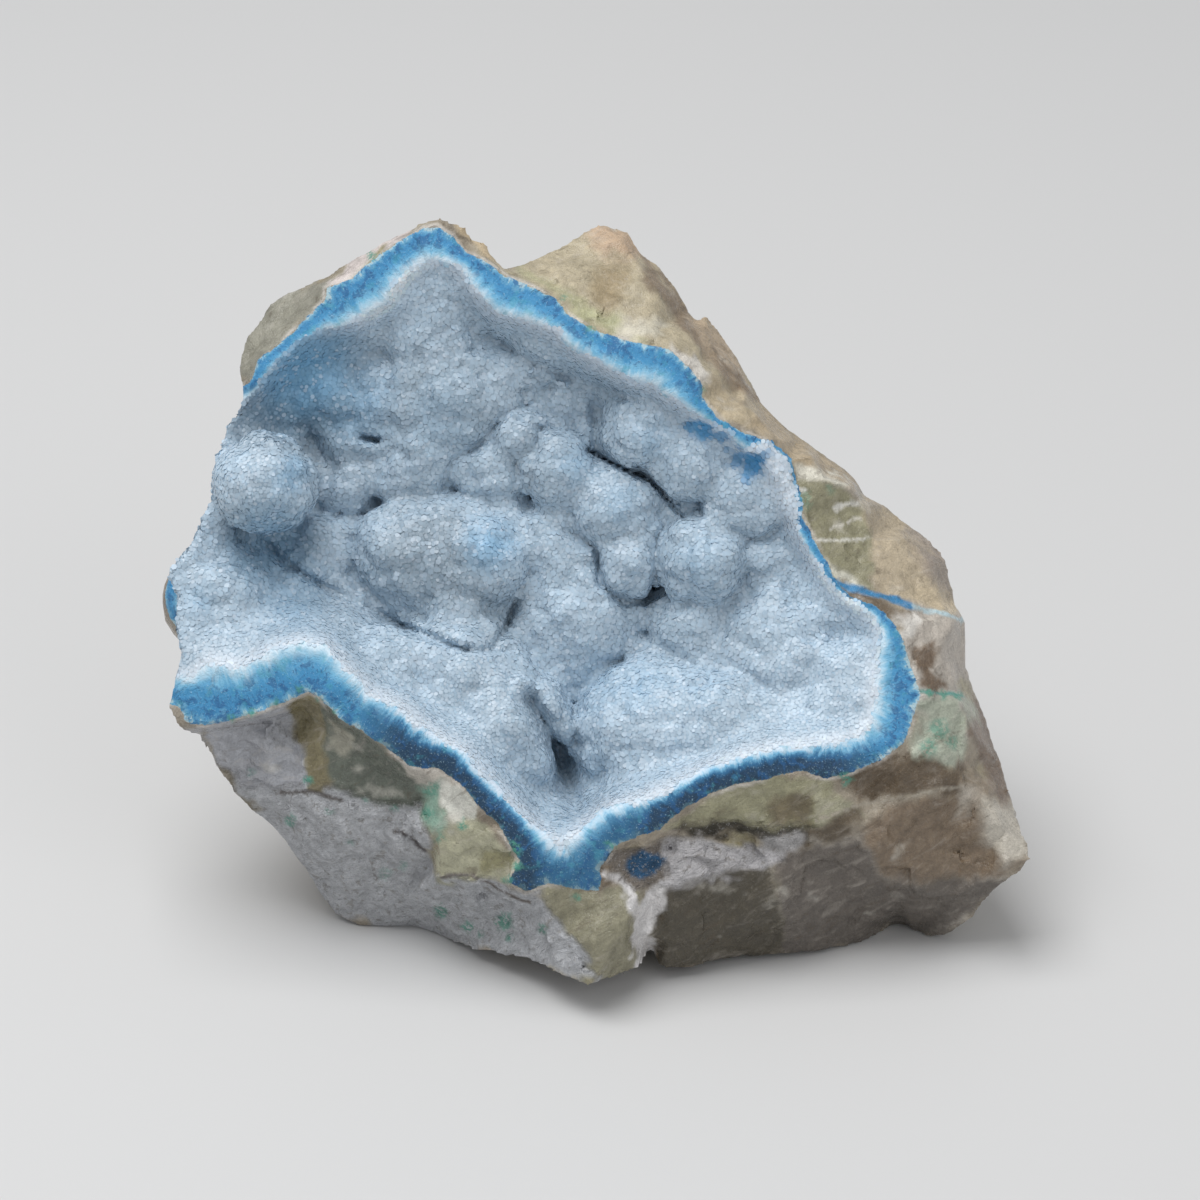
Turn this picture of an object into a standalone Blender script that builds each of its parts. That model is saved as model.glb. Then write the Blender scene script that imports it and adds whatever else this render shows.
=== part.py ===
# Shattuckite in quartz: one natural, intergrown cabinet specimen.
# A block of smoky and yellowish quartz carries an open vug. The vug is lined with a blue
# fibrous shattuckite crust and with rounded knobs that small quartz crystals have grown over.
# Metres, +Z up. The block leans back and stands on one flat broken face at Z = 0.
import math

import bmesh
import bpy
import numpy as np
from mathutils import Matrix, Vector
from mathutils.geometry import delaunay_2d_cdt

for old in list(bpy.data.objects):
    bpy.data.objects.remove(old, do_unlink=True)

MM = 0.001
NAME = "shattuckite_in_quartz"

# Plan points are (right, down, out). Right and down are tenths of a millimetre on the plan of
# the open face, out is millimetres toward the open side. The plan is drawn as seen from EYE
# millimetres in front of its middle PLAN_MID, and the face leans back by LEAN degrees.
PLAN_MID = (600.0, 600.0)
EYE = 490.0
LEAN = 30.0
LIFT = 35.0               # height of the plan's middle above the resting face, mm
SHIFT_X = 0.7612           # puts the middle of the block over the origin, mm
SHIFT_Y = -6.8801
VOXEL = 0.00085           # grain of the merged solid, m
TARGET_TRIANGLES = 8600

# Outline of the whole block, clockwise from the top of the crust.
OUTLINE = [
    (418, 220, -1.6), (440, 216, -1.7), (456, 223, -2.4), (467, 223, -3.0), (473, 240, -3.0),
    (485, 239, -3.4), (494, 259, -3.0), (504, 269, -2.4), (520, 265, -4.0), (553, 250, -7.0),
    (580, 234, -9.0), (600, 224, -10.0), (628, 233, -11.0), (641, 254, -10.5), (658, 267, -11.0),
    (675, 288, -10.5), (688, 311, -10.0), (694, 320, -9.5), (706, 316, -10.0), (720, 334, -10.5),
    (735, 354, -10.0), (750, 381, -9.5), (762, 405, -9.0), (780, 423, -9.5), (800, 438, -10.0),
    (820, 453, -10.5), (843, 469, -11.0), (856, 482, -11.0), (864, 496, -11.0), (886, 507, -11.5),
    (905, 523, -12.0), (930, 541, -12.5), (949, 560, -12.0), (953, 590, -11.0), (952, 602, -10.5),
    (963, 620, -10.0), (965, 655, -9.5), (966, 668, -9.0), (972, 690, -9.0), (984, 715, -9.0),
    (990, 735, -9.0), (1001, 765, -8.0), (1013, 805, -6.0), (1019, 828, -4.5), (1028, 846, -2.5),
    (1029, 860, -1.4), (1022, 870, -2.0), (998, 888, -3.5), (985, 900, -5.0), (972, 917, -7.0),
    (948, 935, -8.5), (928, 938, -10.4), (915, 932, -11.5), (905, 926, -12.5), (895, 925, -12.7),
    (885, 931, -11.7), (870, 940, -10.2), (858, 944, -9.3), (815, 952, -7.2), (765, 954, -6.2),
    (725, 958, -5.2), (690, 966, -3.5), (660, 968, -2.5), (650, 950, -3.5), (640, 970, -0.5),
    (615, 975, 1.5), (588, 986, 4.0), (560, 974, 2.5), (530, 961, -0.5), (500, 954, -3.0),
    (475, 950, -5.5), (460, 944, -8.0), (445, 938, -10.4), (415, 928, -12.2), (390, 929, -12.2),
    (362, 928, -12.2), (335, 914, -12.0), (320, 894, -11.0), (303, 866, -9.0), (288, 845, -8.0),
    (272, 826, -7.0), (252, 810, -6.0), (231, 788, -5.0), (216, 768, -4.0), (203, 738, -2.5),
    (186, 732, 0.6), (175, 727, 1.4), (168, 708, 1.4), (175, 681, 0.8), (183, 655, 0.4),
    (176, 628, 0.0), (178, 600, -0.3), (168, 572, -0.8), (170, 556, -1.0), (188, 543, -1.6),
    (187, 525, -2.5), (203, 512, -3.0), (214, 490, -3.2), (218, 455, -3.2), (226, 424, -3.4),
    (239, 410, -3.4), (244, 396, -3.6), (238, 366, -4.6), (246, 338, -5.4), (261, 320, -6.0),
    (268, 305, -6.2), (283, 295, -6.2), (306, 284, -5.6), (328, 276, -5.0), (340, 267, -4.2),
    (358, 256, -3.4), (386, 241, -2.6), (408, 231, -2.0),
]
# Outer edge of the blue crust where it meets the quartz.
CRUST_OUT = [
    (424, 228, -0.9), (437, 226, -0.8), (452, 236, -0.8), (466, 252, -0.6), (486, 262, -0.5),
    (507, 277, -0.4), (530, 286, -0.3), (556, 299, -0.2), (570, 317, 0.0), (596, 331, 0.2),
    (625, 340, 0.3), (655, 347, 0.4), (669, 349, 0.4), (688, 367, 0.2), (702, 384, 0.0),
    (702, 398, 0.0), (718, 418, -0.2), (745, 433, -0.6), (765, 441, -1.1), (787, 461, -1.6),
    (793, 485, -1.9), (803, 520, -2.0), (822, 553, -1.8), (834, 578, -1.5), (850, 597, -1.2),
    (875, 605, -1.0), (890, 618, -0.8), (903, 640, -0.4), (912, 670, 0.0), (921, 693, 0.4),
    (912, 720, 1.0), (903, 744, 1.8), (880, 760, 2.4), (847, 774, 2.9), (825, 778, 3.1),
    (800, 770, 3.3), (765, 779, 3.6), (735, 785, 3.8), (705, 796, 4.0), (680, 811, 4.2),
    (660, 829, 4.5), (640, 835, 4.6), (615, 847, 4.8), (600, 868, 5.0), (601, 892, 4.6),
    (575, 889, 4.6), (548, 883, 4.8), (525, 892, 4.6), (509, 881, 4.6), (520, 862, 5.0),
    (509, 843, 5.0), (498, 824, 5.0), (480, 808, 5.0), (462, 785, 4.9), (440, 769, 4.8),
    (410, 766, 4.6), (390, 750, 4.6), (365, 733, 4.6), (340, 719, 4.6), (318, 696, 4.6),
    (309, 691, 4.5), (285, 702, 3.8), (258, 712, 3.2), (230, 720, 2.6), (205, 725, 2.2),
    (186, 722, 2.0), (180, 706, 1.8),
]
# The same edge on the upper left, where the crust runs out to the outline.
CRUST_OUT_LEFT = [
    (252, 380, -2.2), (258, 360, -2.2), (270, 351, -2.2), (285, 339, -2.0), (304, 320, -1.8),
    (325, 300, -1.6), (326, 288, -1.6), (352, 279, -1.4), (367, 264, -1.2), (388, 249, -1.0),
    (404, 238, -0.9),
]
# Inner edge of the blue crust, the top of the lip that dips into the vug.
CRUST_IN = [
    (437, 258, -0.4), (462, 268, -0.2), (478, 294, 0.0), (497, 314, 0.2), (527, 320, 0.3),
    (558, 332, 0.4), (575, 349, 0.6), (604, 366, 0.8), (628, 379, 0.8), (652, 383, 0.8),
    (680, 404, 0.6), (705, 418, 0.3), (735, 440, -0.2), (765, 460, -0.8), (780, 490, -1.2),
    (792, 520, -1.4), (808, 550, -1.3), (825, 577, -1.0), (848, 600, -0.7), (872, 614, -0.4),
    (884, 632, 0.0), (880, 655, 0.4), (875, 690, 0.9), (873, 718, 1.4), (858, 738, 2.3),
    (825, 743, 3.0), (775, 748, 3.6), (735, 757, 4.0), (700, 770, 4.3), (670, 787, 4.7),
    (640, 800, 5.0), (605, 808, 5.3), (580, 829, 5.6), (561, 848, 5.7), (543, 833, 5.7),
    (520, 811, 5.7), (488, 778, 5.6), (462, 750, 5.5), (432, 734, 5.4), (400, 706, 5.3),
    (370, 693, 5.2), (350, 671, 5.1), (326, 645, 4.8), (297, 641, 4.4), (266, 652, 3.8),
    (240, 667, 3.2), (209, 662, 2.6), (190, 677, 2.2),
]
CRUST_IN_LEFT = [
    (256, 392, -2.0), (272, 370, -1.8), (300, 345, -1.6), (326, 330, -1.4), (358, 321, -1.2),
    (386, 303, -0.9), (402, 279, -0.7), (422, 262, -0.5),
]
# Broken quartz around the crust: corners and ridges of its faces.
QUARTZ_FRONT = [
    # upper right shoulder and its peak
    (545, 284, -1.4), (600, 300, -3.0), (640, 300, -4.0), (600, 262, -6.5), (622, 242, -8.2),
    (580, 252, -7.0), (655, 333, -1.0), (680, 347, -1.0), (640, 266, -7.2), (660, 292, -5.8),
    (685, 327, -4.0), (700, 347, -3.2), (720, 372, -2.8), (745, 402, -2.8), (765, 426, -2.6),
    (705, 332, -6.6), (716, 352, -6.0), (732, 368, -6.5), (742, 388, -6.0), (730, 416, -0.8),
    # right slope
    (782, 442, -2.6), (812, 457, -4.2), (840, 476, -6.2), (826, 481, -3.0), (850, 487, -4.6),
    (863, 503, -6.0), (870, 540, -5.0), (850, 582, -2.4), (882, 592, -3.0), (892, 562, -4.8),
    (915, 602, -3.6), (930, 564, -7.8), (905, 538, -7.8), (940, 602, -6.2),
    # right block
    (903, 618, -1.4), (922, 662, -1.0), (930, 692, -0.6), (953, 622, -4.8), (958, 690, -4.2),
    (940, 650, -2.6), (930, 708, 0.2), (960, 704, -1.6), (976, 738, -2.8), (942, 748, 0.4),
    (916, 750, 1.4), (985, 788, -1.8), (1004, 834, -1.4), (960, 786, -0.2), (900, 804, 1.4),
    (862, 828, 1.2), (850, 786, 2.0), (900, 768, 1.6), (950, 768, 0.2), (880, 790, 0.4),
    (880, 874, -0.8), (1008, 862, -0.8), (950, 900, -4.2), (900, 900, -5.2), (840, 900, -3.4),
    (870, 924, -8.4),
    # lower right faces
    (820, 800, 2.8), (816, 824, 2.6), (740, 824, 2.9), (676, 830, 3.6), (680, 838, 2.4),
    (740, 834, 1.4), (800, 836, 1.6), (730, 866, 1.8), (790, 852, 1.2), (664, 888, 3.0),
    (770, 872, 0.8), (782, 902, 0.0), (720, 930, -1.2), (668, 942, -0.4),
    # groove and the yellowish chunk at the bottom
    (628, 858, 3.0), (646, 872, 2.6), (652, 904, 1.2), (642, 932, 1.6), (612, 884, 4.0),
    (546, 894, 4.4), (600, 904, 4.8), (592, 942, 5.4), (562, 934, 3.6), (622, 932, 5.0),
    (634, 904, 4.2), (602, 966, 5.0),
    # lower left: blocks beside the crust and the chalky face under them
    (444, 786, 4.0), (470, 802, 4.6), (446, 816, 3.4), (438, 836, 3.0), (476, 832, 4.0),
    (514, 852, 4.4), (502, 882, 3.0), (466, 882, 2.0), (438, 876, 1.6), (300, 712, -0.2),
    (262, 724, -0.4), (230, 732, -0.6), (330, 732, 1.2), (362, 760, 1.0), (400, 784, 1.4),
    (280, 786, -2.0), (332, 796, -0.2), (252, 788, -3.8), (302, 832, -4.4), (350, 820, -1.0),
    (392, 806, 0.4), (382, 860, -4.0), (342, 880, -7.4), (400, 900, -8.0), (430, 868, -2.4),
    (440, 914, -7.0), (482, 890, -0.4), (482, 922, -4.0), (520, 904, 1.4), (512, 932, -1.6),
    (540, 942, 0.4),
    # upper left
    (256, 348, -4.4), (266, 332, -4.4), (290, 312, -4.0), (312, 298, -3.4), (345, 272, -2.4),
    (375, 256, -1.9), (480, 250, -1.6),
]
# Floor of the vug under the knobs.
VUG_FLOOR = [
    (437, 300, -5.0), (400, 330, -6.5), (350, 350, -5.8), (300, 375, -6.0), (272, 402, -5.5),
    (480, 340, -7.5), (540, 372, -7.5), (600, 402, -8.0), (645, 420, -6.5), (350, 450, -10.0),
    (450, 450, -12.0), (560, 450, -12.0), (605, 450, -13.5), (650, 492, -13.5), (675, 516, -13.5),
    (740, 470, -6.0), (350, 560, -10.0), (300, 540, -9.0), (440, 640, -10.5), (480, 656, -11.5),
    (540, 600, -12.0), (600, 600, -12.0), (655, 620, -12.0), (720, 600, -10.0), (780, 560, -7.0),
    (800, 620, -7.5), (845, 640, -4.0), (700, 668, -10.0), (620, 660, -11.0), (560, 690, -12.0),
    (555, 730, -12.5), (572, 790, -10.5), (568, 762, -12.5), (520, 700, -7.0), (450, 702, -2.5),
    (400, 664, -3.5), (700, 740, -5.0), (800, 700, -2.5), (640, 775, 0.0), (500, 760, 0.5),
    (545, 805, -3.0), (590, 810, -1.0), (240, 560, -5.0), (250, 620, -1.5), (205, 600, -1.0),
    (220, 540, -3.5), (250, 460, -6.0), (245, 425, -5.0), (300, 600, -4.0), (350, 625, -3.0),
    (840, 700, -0.5), (300, 470, -9.0),
]
# Hidden back of the block: broken quartz faces.
BACK = [
    (330, 770, -30), (420, 760, -42), (520, 745, -44), (640, 742, -45), (760, 748, -44),
    (860, 770, -39), (930, 780, -28), (380, 640, -33), (500, 600, -37), (640, 590, -39),
    (780, 610, -38), (870, 640, -33), (300, 640, -24), (240, 680, -14), (930, 660, -24),
    (400, 500, -27), (520, 470, -31), (660, 460, -33), (780, 500, -31), (860, 560, -27),
    (320, 480, -19), (250, 560, -13), (450, 370, -21), (560, 340, -25), (660, 370, -26),
    (740, 430, -25), (340, 370, -14), (440, 290, -12), (540, 290, -15), (610, 270, -17),
    (680, 340, -18), (290, 330, -10), (960, 720, -19), (990, 800, -13), (240, 740, -9),
    (290, 810, -16), (350, 880, -23), (980, 850, -11), (930, 880, -23), (460, 880, -25),
    (600, 880, -25), (740, 880, -25), (860, 880, -25), (600, 930, -14), (740, 930, -14),
    (420, 820, -33), (600, 820, -33), (800, 820, -33), (236, 470, -12), (204, 600, -11),
    (208, 670, -9), (256, 420, -10), (262, 370, -9),
]
# Knobs of the lining: (right, down, out of the highest point, radius mm).
KNOBS = [
    (265, 483, 3.2, 5.1),
    (450, 395, -3.0, 8.5), (392, 402, -4.6, 6.5), (500, 380, -4.4, 5.2), (420, 446, -4.6, 5.6),
    (330, 395, -5.0, 5.0), (437, 300, -2.2, 4.8), (430, 335, -3.2, 5.6), (545, 345, -2.6, 3.4),
    (570, 395, -6.2, 4.6), (520, 435, -4.0, 3.2), (557, 470, -3.4, 4.3), (490, 470, -4.8, 4.0),
    (640, 430, -1.8, 4.0), (690, 460, -2.0, 4.4), (745, 500, -2.2, 5.0), (615, 510, -3.4, 4.6),
    (632, 562, -3.8, 3.7), (703, 560, -1.6, 4.6), (440, 560, -3.2, 8.0), (400, 550, -3.6, 5.0),
    (482, 560, -3.1, 5.6), (455, 615, -4.0, 5.4), (350, 440, -6.0, 3.8), (345, 482, -6.6, 4.0),
    (410, 472, -5.6, 4.2), (575, 615, -5.2, 9.0), (700, 630, -4.8, 6.0), (655, 735, -0.6, 8.6),
    (790, 660, -1.8, 11.0), (770, 560, -4.4, 4.6), (822, 605, -3.2, 4.0), (450, 690, -0.4, 9.5),
    (500, 735, 0.6, 7.6), (555, 682, -7.6, 3.8), (218, 600, -0.4, 5.6), (330, 548, -6.4, 4.6),
    (300, 575, -5.2, 4.4), (720, 730, 0.2, 7.8), (850, 690, 0.2, 5.5), (385, 668, 0.2, 4.2),
]


def place(right, down, out):
    """Plan point to the standing block, metres."""
    grow = (EYE - out) / EYE / 10.0
    a = (right - PLAN_MID[0]) * grow
    b = -(down - PLAN_MID[1]) * grow
    s, c = math.sin(math.radians(LEAN)), math.cos(math.radians(LEAN))
    return Vector(((a + SHIFT_X) * MM, (b * s - out * c + SHIFT_Y) * MM, (LIFT + b * c + out * s) * MM))


def sheet(bm, rim_verts, inner, loops, flip):
    """One side of the block, stretched over its ridges and corners inside the outline."""
    plan = [(p[0], p[1]) for p in OUTLINE] + [(p[0], p[1]) for p in inner]
    outs = [p[2] for p in OUTLINE] + [p[2] for p in inner]
    n = len(OUTLINE)
    edges = []
    for start, length, closed in loops:
        ids = [n + start + k for k in range(length)]
        edges += list(zip(ids[:-1], ids[1:]))
        if closed:
            edges.append((ids[-1], ids[0]))
    co, _, tris, from_v, _, _ = delaunay_2d_cdt([Vector(p) for p in plan], edges, [list(range(n))], 1, 1e-6)
    verts = []
    for k, p in enumerate(co):
        src = from_v[k]
        if src and src[0] < n:
            verts.append(rim_verts[src[0]])
        else:
            if src:
                out = outs[src[0]]
            else:
                near = sorted(range(len(plan)), key=lambda i: (plan[i][0] - p[0]) ** 2 + (plan[i][1] - p[1]) ** 2)[:2]
                out = sum(outs[i] for i in near) / 2
            verts.append(bm.verts.new(place(p[0], p[1], out)))
    for tri in tris:
        order = [verts[i] for i in tri]
        if len(set(order)) < 3:
            continue
        twin = bm.faces.get(order)
        if twin:              # a corner of the outline with no thickness
            bm.faces.remove(twin)
        else:
            bm.faces.new(order[::-1] if flip else order)


def make_block():
    bm = bmesh.new()
    rim = [bm.verts.new(place(*p)) for p in OUTLINE]
    inner, loops = [], []
    for points, closed in ((CRUST_OUT, False), (CRUST_OUT_LEFT, False), (CRUST_IN, False), (CRUST_IN_LEFT, False)):
        loops.append((len(inner), len(points), closed))
        inner += points
    inner += QUARTZ_FRONT + VUG_FLOOR
    sheet(bm, rim, inner, loops, True)
    sheet(bm, rim, BACK, [], False)
    bmesh.ops.recalc_face_normals(bm, faces=bm.faces[:])
    # The lining's knobs sink into the floor and merge with it below.
    for right, down, out, radius in KNOBS:
        top = place(right, down, out)
        mid = place(right, down, out - radius)
        made = bmesh.ops.create_icosphere(bm, subdivisions=3, radius=radius * MM)
        bmesh.ops.translate(bm, verts=made["verts"], vec=mid)
    mesh = bpy.data.meshes.new(NAME)
    bm.to_mesh(mesh)
    bm.free()
    return mesh


def evaluated_copy(obj):
    graph = bpy.context.evaluated_depsgraph_get()
    return bpy.data.meshes.new_from_object(obj.evaluated_get(graph))


def main():
    rough = bpy.data.objects.new(NAME + "_rough", make_block())
    bpy.context.scene.collection.objects.link(rough)
    merge = rough.modifiers.new("grown_together", "REMESH")
    merge.mode = "VOXEL"
    merge.voxel_size = VOXEL
    merge.adaptivity = 0.0
    merged = evaluated_copy(rough)
    bpy.data.objects.remove(rough, do_unlink=True)

    block = bpy.data.objects.new(NAME, merged)
    bpy.context.scene.collection.objects.link(block)
    faces = sum(len(p.vertices) - 2 for p in merged.polygons)
    thin = block.modifiers.new("broken_faces", "DECIMATE")
    thin.decimate_type = "COLLAPSE"
    thin.ratio = min(1.0, TARGET_TRIANGLES / faces)
    thin.use_collapse_triangulate = True
    reduced = evaluated_copy(block)
    block.modifiers.clear()

    # The resting face: everything below Z = 0 is broken off flat.
    bm = bmesh.new()
    bm.from_mesh(reduced)
    geom = bm.verts[:] + bm.edges[:] + bm.faces[:]
    cut = bmesh.ops.bisect_plane(bm, geom=geom, dist=1e-5, plane_co=(0, 0, 0), plane_no=(0, 0, 1), clear_inner=True)
    rim = [e for e in bm.edges if e.is_boundary]
    bmesh.ops.holes_fill(bm, edges=rim, sides=0)
    for v in bm.verts:
        if abs(v.co.z) < 2e-5:
            v.co.z = 0.0
    bmesh.ops.triangulate(bm, faces=bm.faces[:])
    bmesh.ops.recalc_face_normals(bm, faces=bm.faces[:])
    # The origin is under the middle of the block.
    xs, ys = [v.co.x for v in bm.verts], [v.co.y for v in bm.verts]
    bmesh.ops.translate(bm, verts=bm.verts[:], vec=(-(min(xs) + max(xs)) / 2, -(min(ys) + max(ys)) / 2, 0.0))
    mesh = bpy.data.meshes.new(NAME)
    bm.to_mesh(mesh)
    bm.free()
    block.data = mesh

    stone = bpy.data.materials.new("quartz_and_shattuckite")
    stone.use_nodes = True
    shader = stone.node_tree.nodes["Principled BSDF"]
    shader.inputs["Base Color"].default_value = (0.30, 0.38, 0.42, 1.0)
    shader.inputs["Roughness"].default_value = 0.62
    shader.inputs["Metallic"].default_value = 0.0
    stone.diffuse_color = (0.30, 0.38, 0.42, 1.0)
    block.data.materials.append(stone)
    co = np.array([v.co for v in mesh.vertices]) * 1000
    print("triangles", len(mesh.polygons), "low", co.min(0), "high", co.max(0), "mid", (co.min(0) + co.max(0)) / 2)


main()
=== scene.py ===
import math

import bpy
import numpy as np
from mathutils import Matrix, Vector
from mathutils.geometry import delaunay_2d_cdt
from mathutils.kdtree import KDTree


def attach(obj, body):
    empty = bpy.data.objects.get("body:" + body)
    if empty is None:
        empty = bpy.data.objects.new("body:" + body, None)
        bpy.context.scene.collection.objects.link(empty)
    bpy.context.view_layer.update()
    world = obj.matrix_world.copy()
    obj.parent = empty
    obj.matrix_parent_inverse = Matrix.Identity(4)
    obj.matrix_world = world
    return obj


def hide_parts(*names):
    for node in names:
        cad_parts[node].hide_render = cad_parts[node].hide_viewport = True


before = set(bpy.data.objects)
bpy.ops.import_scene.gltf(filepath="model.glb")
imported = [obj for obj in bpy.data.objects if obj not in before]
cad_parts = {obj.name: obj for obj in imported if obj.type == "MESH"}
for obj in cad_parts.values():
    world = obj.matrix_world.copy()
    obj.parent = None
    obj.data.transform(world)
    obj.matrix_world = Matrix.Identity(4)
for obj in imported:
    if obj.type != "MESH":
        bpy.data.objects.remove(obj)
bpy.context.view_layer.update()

NODE = "shattuckite_in_quartz"
MM = 0.001
# Plan points are (right, down, out). Right and down are tenths of a millimetre on the plan of the open
# face, out is millimetres toward the open side. The plan is drawn as seen from EYE millimetres in front
# of its middle, and the face leans back by LEAN degrees.
MID = 600.0
EYE = 490.0
LEAN = math.radians(30.0)
LIFT = 35.0
SHIFT_X = 0.7612
SHIFT_Y = -6.8801
GRAIN = 0.36              # spacing of the shape grid, mm
BODY_TRIANGLES = 196000

# Outline of the whole block, clockwise from the top of the crust.
OUTLINE = [
    (418, 220, -1.6), (440, 216, -1.7), (456, 223, -2.4), (467, 223, -3.0), (473, 240, -3.0),
    (485, 239, -3.4), (494, 259, -3.0), (504, 269, -2.4), (520, 265, -4.0), (553, 250, -7.0),
    (580, 234, -9.0), (600, 224, -10.0), (628, 233, -11.0), (641, 254, -10.5), (658, 267, -11.0),
    (675, 288, -10.5), (688, 311, -10.0), (694, 320, -9.5), (706, 316, -10.0), (720, 334, -10.5),
    (735, 354, -10.0), (750, 381, -9.5), (762, 405, -9.0), (780, 423, -9.5), (800, 438, -10.0),
    (820, 453, -10.5), (843, 469, -11.0), (856, 482, -11.0), (864, 496, -11.0), (886, 507, -11.5),
    (905, 523, -12.0), (930, 541, -12.5), (949, 560, -12.0), (953, 590, -11.0), (952, 602, -10.5),
    (963, 620, -10.0), (965, 655, -9.5), (966, 668, -9.0), (972, 690, -9.0), (984, 715, -9.0),
    (990, 735, -9.0), (1001, 765, -8.0), (1013, 805, -6.0), (1019, 828, -4.5), (1028, 846, -2.5),
    (1029, 860, -1.4), (1022, 870, -2.0), (998, 888, -3.5), (985, 900, -5.0), (972, 917, -7.0),
    (948, 935, -8.5), (928, 938, -10.4), (915, 932, -11.5), (905, 926, -12.5), (895, 925, -12.7),
    (885, 931, -11.7), (870, 940, -10.2), (858, 944, -9.3), (815, 952, -7.2), (765, 954, -6.2),
    (725, 958, -5.2), (690, 966, -3.5), (660, 968, -2.5), (650, 950, -3.5), (640, 970, -0.5),
    (615, 975, 1.5), (588, 986, 4.0), (560, 974, 2.5), (530, 961, -0.5), (500, 954, -3.0),
    (475, 950, -5.5), (460, 944, -8.0), (445, 938, -10.4), (415, 928, -12.2), (390, 929, -12.2),
    (362, 928, -12.2), (335, 914, -12.0), (320, 894, -11.0), (303, 866, -9.0), (288, 845, -8.0),
    (272, 826, -7.0), (252, 810, -6.0), (231, 788, -5.0), (216, 768, -4.0), (203, 738, -2.5),
    (186, 732, 0.6), (175, 727, 1.4), (168, 708, 1.4), (175, 681, 0.8), (183, 655, 0.4),
    (176, 628, 0.0), (178, 600, -0.3), (168, 572, -0.8), (170, 556, -1.0), (188, 543, -1.6),
    (187, 525, -2.5), (203, 512, -3.0), (214, 490, -3.2), (218, 455, -3.2), (226, 424, -3.4),
    (239, 410, -3.4), (244, 396, -3.6), (238, 366, -4.6), (246, 338, -5.4), (261, 320, -6.0),
    (268, 305, -6.2), (283, 295, -6.2), (306, 284, -5.6), (328, 276, -5.0), (340, 267, -4.2),
    (358, 256, -3.4), (386, 241, -2.6), (408, 231, -2.0),
]
# Outer edge of the blue crust where it meets the quartz.
CRUST_OUT = [
    (424, 228, -0.9), (437, 226, -0.8), (452, 236, -0.8), (466, 252, -0.6), (486, 262, -0.5),
    (507, 277, -0.4), (530, 286, -0.3), (556, 299, -0.2), (570, 317, 0.0), (596, 331, 0.2),
    (625, 340, 0.3), (655, 347, 0.4), (669, 349, 0.4), (688, 367, 0.2), (702, 384, 0.0),
    (702, 398, 0.0), (718, 418, -0.2), (745, 433, -0.6), (765, 441, -1.1), (787, 461, -1.6),
    (793, 485, -1.9), (803, 520, -2.0), (822, 553, -1.8), (834, 578, -1.5), (850, 597, -1.2),
    (875, 605, -1.0), (890, 618, -0.8), (903, 640, -0.4), (912, 670, 0.0), (921, 693, 0.4),
    (912, 720, 1.0), (903, 744, 1.8), (880, 760, 2.4), (847, 774, 2.9), (825, 778, 3.1),
    (800, 770, 3.3), (765, 779, 3.6), (735, 785, 3.8), (705, 796, 4.0), (680, 811, 4.2),
    (660, 829, 4.5), (640, 835, 4.6), (615, 847, 4.8), (600, 868, 5.0), (601, 892, 4.6),
    (575, 889, 4.6), (548, 883, 4.8), (525, 892, 4.6), (509, 881, 4.6), (520, 862, 5.0),
    (509, 843, 5.0), (498, 824, 5.0), (480, 808, 5.0), (462, 785, 4.9), (440, 769, 4.8),
    (410, 766, 4.6), (390, 750, 4.6), (365, 733, 4.6), (340, 719, 4.6), (318, 696, 4.6),
    (309, 691, 4.5), (285, 702, 3.8), (258, 712, 3.2), (230, 720, 2.6), (205, 725, 2.2),
    (186, 722, 2.0), (180, 706, 1.8),
]
# The same edge on the upper left, where the crust runs out to the outline.
CRUST_OUT_LEFT = [
    (252, 380, -2.2), (258, 360, -2.2), (270, 351, -2.2), (285, 339, -2.0), (304, 320, -1.8),
    (325, 300, -1.6), (326, 288, -1.6), (352, 279, -1.4), (367, 264, -1.2), (388, 249, -1.0),
    (404, 238, -0.9),
]
# Inner edge of the blue crust, the top of the lip that dips into the vug.
CRUST_IN = [
    (437, 258, -0.4), (462, 268, -0.2), (478, 294, 0.0), (497, 314, 0.2), (527, 320, 0.3),
    (558, 332, 0.4), (575, 349, 0.6), (604, 366, 0.8), (628, 379, 0.8), (652, 383, 0.8),
    (680, 404, 0.6), (705, 418, 0.3), (735, 440, -0.2), (765, 460, -0.8), (780, 490, -1.2),
    (792, 520, -1.4), (808, 550, -1.3), (825, 577, -1.0), (848, 600, -0.7), (872, 614, -0.4),
    (884, 632, 0.0), (880, 655, 0.4), (875, 690, 0.9), (873, 718, 1.4), (858, 738, 2.3),
    (825, 743, 3.0), (775, 748, 3.6), (735, 757, 4.0), (700, 770, 4.3), (670, 787, 4.7),
    (640, 800, 5.0), (605, 808, 5.3), (580, 829, 5.6), (561, 848, 5.7), (543, 833, 5.7),
    (520, 811, 5.7), (488, 778, 5.6), (462, 750, 5.5), (432, 734, 5.4), (400, 706, 5.3),
    (370, 693, 5.2), (350, 671, 5.1), (326, 645, 4.8), (297, 641, 4.4), (266, 652, 3.8),
    (240, 667, 3.2), (209, 662, 2.6), (190, 677, 2.2),
]
CRUST_IN_LEFT = [
    (256, 392, -2.0), (272, 370, -1.8), (300, 345, -1.6), (326, 330, -1.4), (358, 321, -1.2),
    (386, 303, -0.9), (402, 279, -0.7), (422, 262, -0.5),
]
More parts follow.
